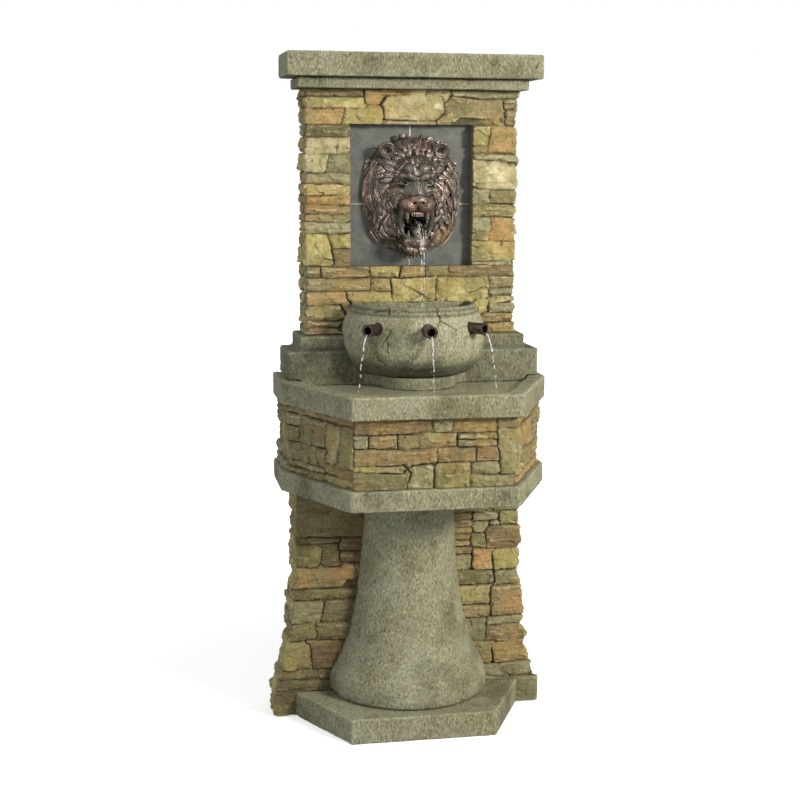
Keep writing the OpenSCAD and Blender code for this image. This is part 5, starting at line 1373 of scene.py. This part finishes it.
def pool(name, rim_at, level, deep, landings, step=2.5):
    """A calm sheet of water inside an outline, with rings round the landings; closed below."""
    outline = np.array(rim_at)
    lo, hi = outline.min(0), outline.max(0)
    xs, ys = np.arange(lo[0], hi[0] + step, step), np.arange(lo[1], hi[1] + step, step)
    x, y = np.meshgrid(xs, ys)
    inside = np.zeros(x.shape, bool)
    for (x0, y0), (x1, y1) in zip(outline, np.roll(outline, -1, axis=0)):
        crosses = ((y0 > y) != (y1 > y)) & (x < (x1 - x0) * (y - y0) / ((y1 - y0) or 1e-9) + x0)
        inside ^= crosses
    h = 0.25 * cloud(np.stack([x.ravel(), y.ravel(), 0 * x.ravel()], 1) / 1000, 0.06, 2, 3).reshape(x.shape)
    for lx, ly in landings:
        r = np.hypot(x - lx, y - ly)
        h += 1.3 * np.cos(r / 2.6) * np.exp(-r / 16) + 0.5 * np.cos(r / 5) * np.exp(-r / 40)
    number = np.where(inside, np.cumsum(inside.ravel()).reshape(inside.shape) - 1, -1)
    cells = inside[:-1, :-1] & inside[:-1, 1:] & inside[1:, 1:] & inside[1:, :-1]
    a, b, c, d = (number[j:j + cells.shape[0], i:i + cells.shape[1]][cells]
                  for j, i in ((0, 0), (0, 1), (1, 1), (1, 0)))
    top = np.stack([a, b, c, d], 1)
    count = int(inside.sum())
    flat = np.stack([x[inside], y[inside]], 1)
    edges = np.concatenate([top[:, [k, (k + 1) % 4]] for k in range(4)])
    key = {tuple(e) for e in edges}
    border = np.array([e for e in key if (e[1], e[0]) not in key])
    walls = np.stack([border[:, 1], border[:, 0], border[:, 0] + count, border[:, 1] + count], 1)
    sheet, bottom = (np.column_stack([flat, v]) for v in (level + h[inside], np.full(count, level - deep)))
    points = np.concatenate([sheet, bottom])
    return build(name, points / 1000, np.concatenate([top, top[:, ::-1] + count, walls]))


POOL = water_look("calm_water", "c0bda0", 0.45, 0.05)
STREAM = water_look("falling_water", "f4f6f6", 0.55, 0.12)
coping = solids_of("basin_rim")[0]
rim_lo, rim_hi = coping.min(0), coping.max(0)
RIM_W = 38.0
POOL_DEEP = 8
outline = basin_plan(rim_hi[0], rim_hi[1] - rim_lo[1], RIM_W + 0.4, 21)
bowl_lo, bowl_hi = box_mm("bowl")
axis_y = bowl_lo[1] + bowl_hi[0]
OUTWARD = {"left": (-1, -1), "front": (0, -1), "right": (1, -1)}
SPOUT_BORE_R = 8.5
starts, landings = {}, []
for name, outward in OUTWARD.items():
    lo, hi = box_mm("spout_" + name)
    middle = (lo + hi) / 2
    outward = np.array(outward) / np.linalg.norm(outward)
    if name == "front":
        tip = np.array([0, axis_y]) + outward * (axis_y - lo[1])
    else:
        tip = np.array([lo[0] + 9 if name == "left" else hi[0] - 9, lo[1] + 9])
    starts[name] = (tip[0], tip[1], middle[2] - SPOUT_BORE_R)
    places = fall(starts[name], (*(outward * 0.19), 0), WATER_Z * 1000, 40)
    landings.append(tuple(places[-1][:2]))
    for k, (dx, size) in enumerate(((0, 1.25), (1.8, 0.75))):
        made = rope(f"stream_{name}_{k}", places + (dx, 0.5 * dx, 0), size, name + str(k), 0.7 if k else 0.52)
        settle(made, STREAM)
settle(pool("basin_water", outline, WATER_Z * 1000, POOL_DEEP, landings), POOL)
BOWL_Z = bowl_hi[2] - 12
inner_r = bowl_hi[0] - 44
angles = np.linspace(0, 2 * math.pi, 90, endpoint=False)
ring = [(inner_r * math.cos(a), min(axis_y + inner_r * math.sin(a), BACK * 1000 - 106)) for a in angles]
mouth = [(0.5, -186.0, 1057.0), (0.0, -198.0, 1006.0), (-1.0, -203.0, 977.0), (-2.0, -210.0, BOWL_Z)]
mouth = np.array([(x + 3, BACK * 1000 + y, z) for x, y, z in mouth])
settle(pool("bowl_water", ring, BOWL_Z, POOL_DEEP, [(mouth[-1][0], mouth[-1][1])], 2.0), POOL)
lip = [(3.0, -128.0, 1094.0), (3.2, -160.0, 1089.0), (3.5, -178.0, 1076.0)]
lip = np.array([(x, BACK * 1000 + y, z) for x, y, z in lip])
mouth = np.concatenate([lip, mouth])
for k, (dx, size) in enumerate(((0, 0.95), (4.6, 0.8), (-2.4, 0.5))):
    made = rope(f"stream_mouth_{k}", mouth + (dx, 0, 0), size, "mouth" + str(k), 0.45 + 0.12 * k)
    settle(made, STREAM)
print("streams land at", [tuple(round(v) for v in p) for p in landings])

# %% [markdown]
# Light. The photograph shows an even light on white: a broad light from the right and
# above, a cooler fill from the left, and a white ground that keeps only a faint shadow.

# %% Light and ground
def lamp(name, place, aim, size, power, colour="ffffff"):
    data = bpy.data.lights.new(name, "AREA")
    data.shape = "RECTANGLE"
    data.size, data.size_y = size
    data.energy = power
    data.color = rgb(colour)[:3]
    made = bpy.data.objects.new(name, data)
    made.location = place
    made.rotation_euler = (Vector(aim) - Vector(place)).to_track_quat("-Z", "Y").to_euler()
    scene.collection.objects.link(made)


lamp("key", (2.15, -2.7, 2.1), (0, 0, 0.8), (0.6, 0.7), 140, "fffaf0")
lamp("fill", (-2.6, -1.8, 1.6), (0, 0, 0.8), (2.0, 2.4), 21, "f2f4ff")
world = bpy.data.worlds.new("world")
scene.world = world
world.use_nodes = True
tree = world.node_tree
tree.nodes.clear()
rays = put(tree, "LightPath")
seen = put(tree, "Math", {0: rays.outputs["Is Camera Ray"], 1: rays.outputs["Is Transmission Ray"]},
           operation="MAXIMUM")
seen = put(tree, "Math", {0: seen, 1: rays.outputs["Is Glossy Ray"]}, operation="MAXIMUM")
sky = put(tree, "Background", {"Color": rgb("f2f4f6"), "Strength": 0.5})
white = put(tree, "Background", {"Color": (1, 1, 1, 1), "Strength": 1.0})
mix = put(tree, "MixShader", {0: seen, 1: sky, 2: white})
put(tree, "OutputWorld", {"Surface": mix})

bpy.ops.mesh.primitive_plane_add(size=40, location=(0, 0, 0))
ground = bpy.context.object
ground.name = "ground"
look, tree = material("white_ground")
rays = put(tree, "LightPath")
place = put(tree, "TexCoord").outputs["Object"]
away = put(tree, "VectorMath", {0: place}, operation="LENGTH").outputs["Value"]
glow = put(tree, "MapRange", {"Value": away, "From Min": 0.7, "From Max": 2.6, "To Min": 0.55, "To Max": 1.0})
paper = put(tree, "BsdfDiffuse", {"Color": rgb("f4f4f2")})
dull = put(tree, "BsdfDiffuse", {"Color": rgb("c4c4c0")})
white = put(tree, "Emission", {"Color": (1, 1, 1, 1), "Strength": glow})
both_of = put(tree, "AddShader", {0: paper, 1: white})
mix = put(tree, "MixShader", {0: rays.outputs["Is Camera Ray"], 1: dull, 2: both_of})
put(tree, "OutputMaterial", {"Surface": mix})
ground.data.materials.append(look)
ground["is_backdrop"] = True
scene.view_settings.view_transform = "Standard"

lo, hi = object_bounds()
print("visual box", [round(v, 4) for v in (*lo, *hi)])
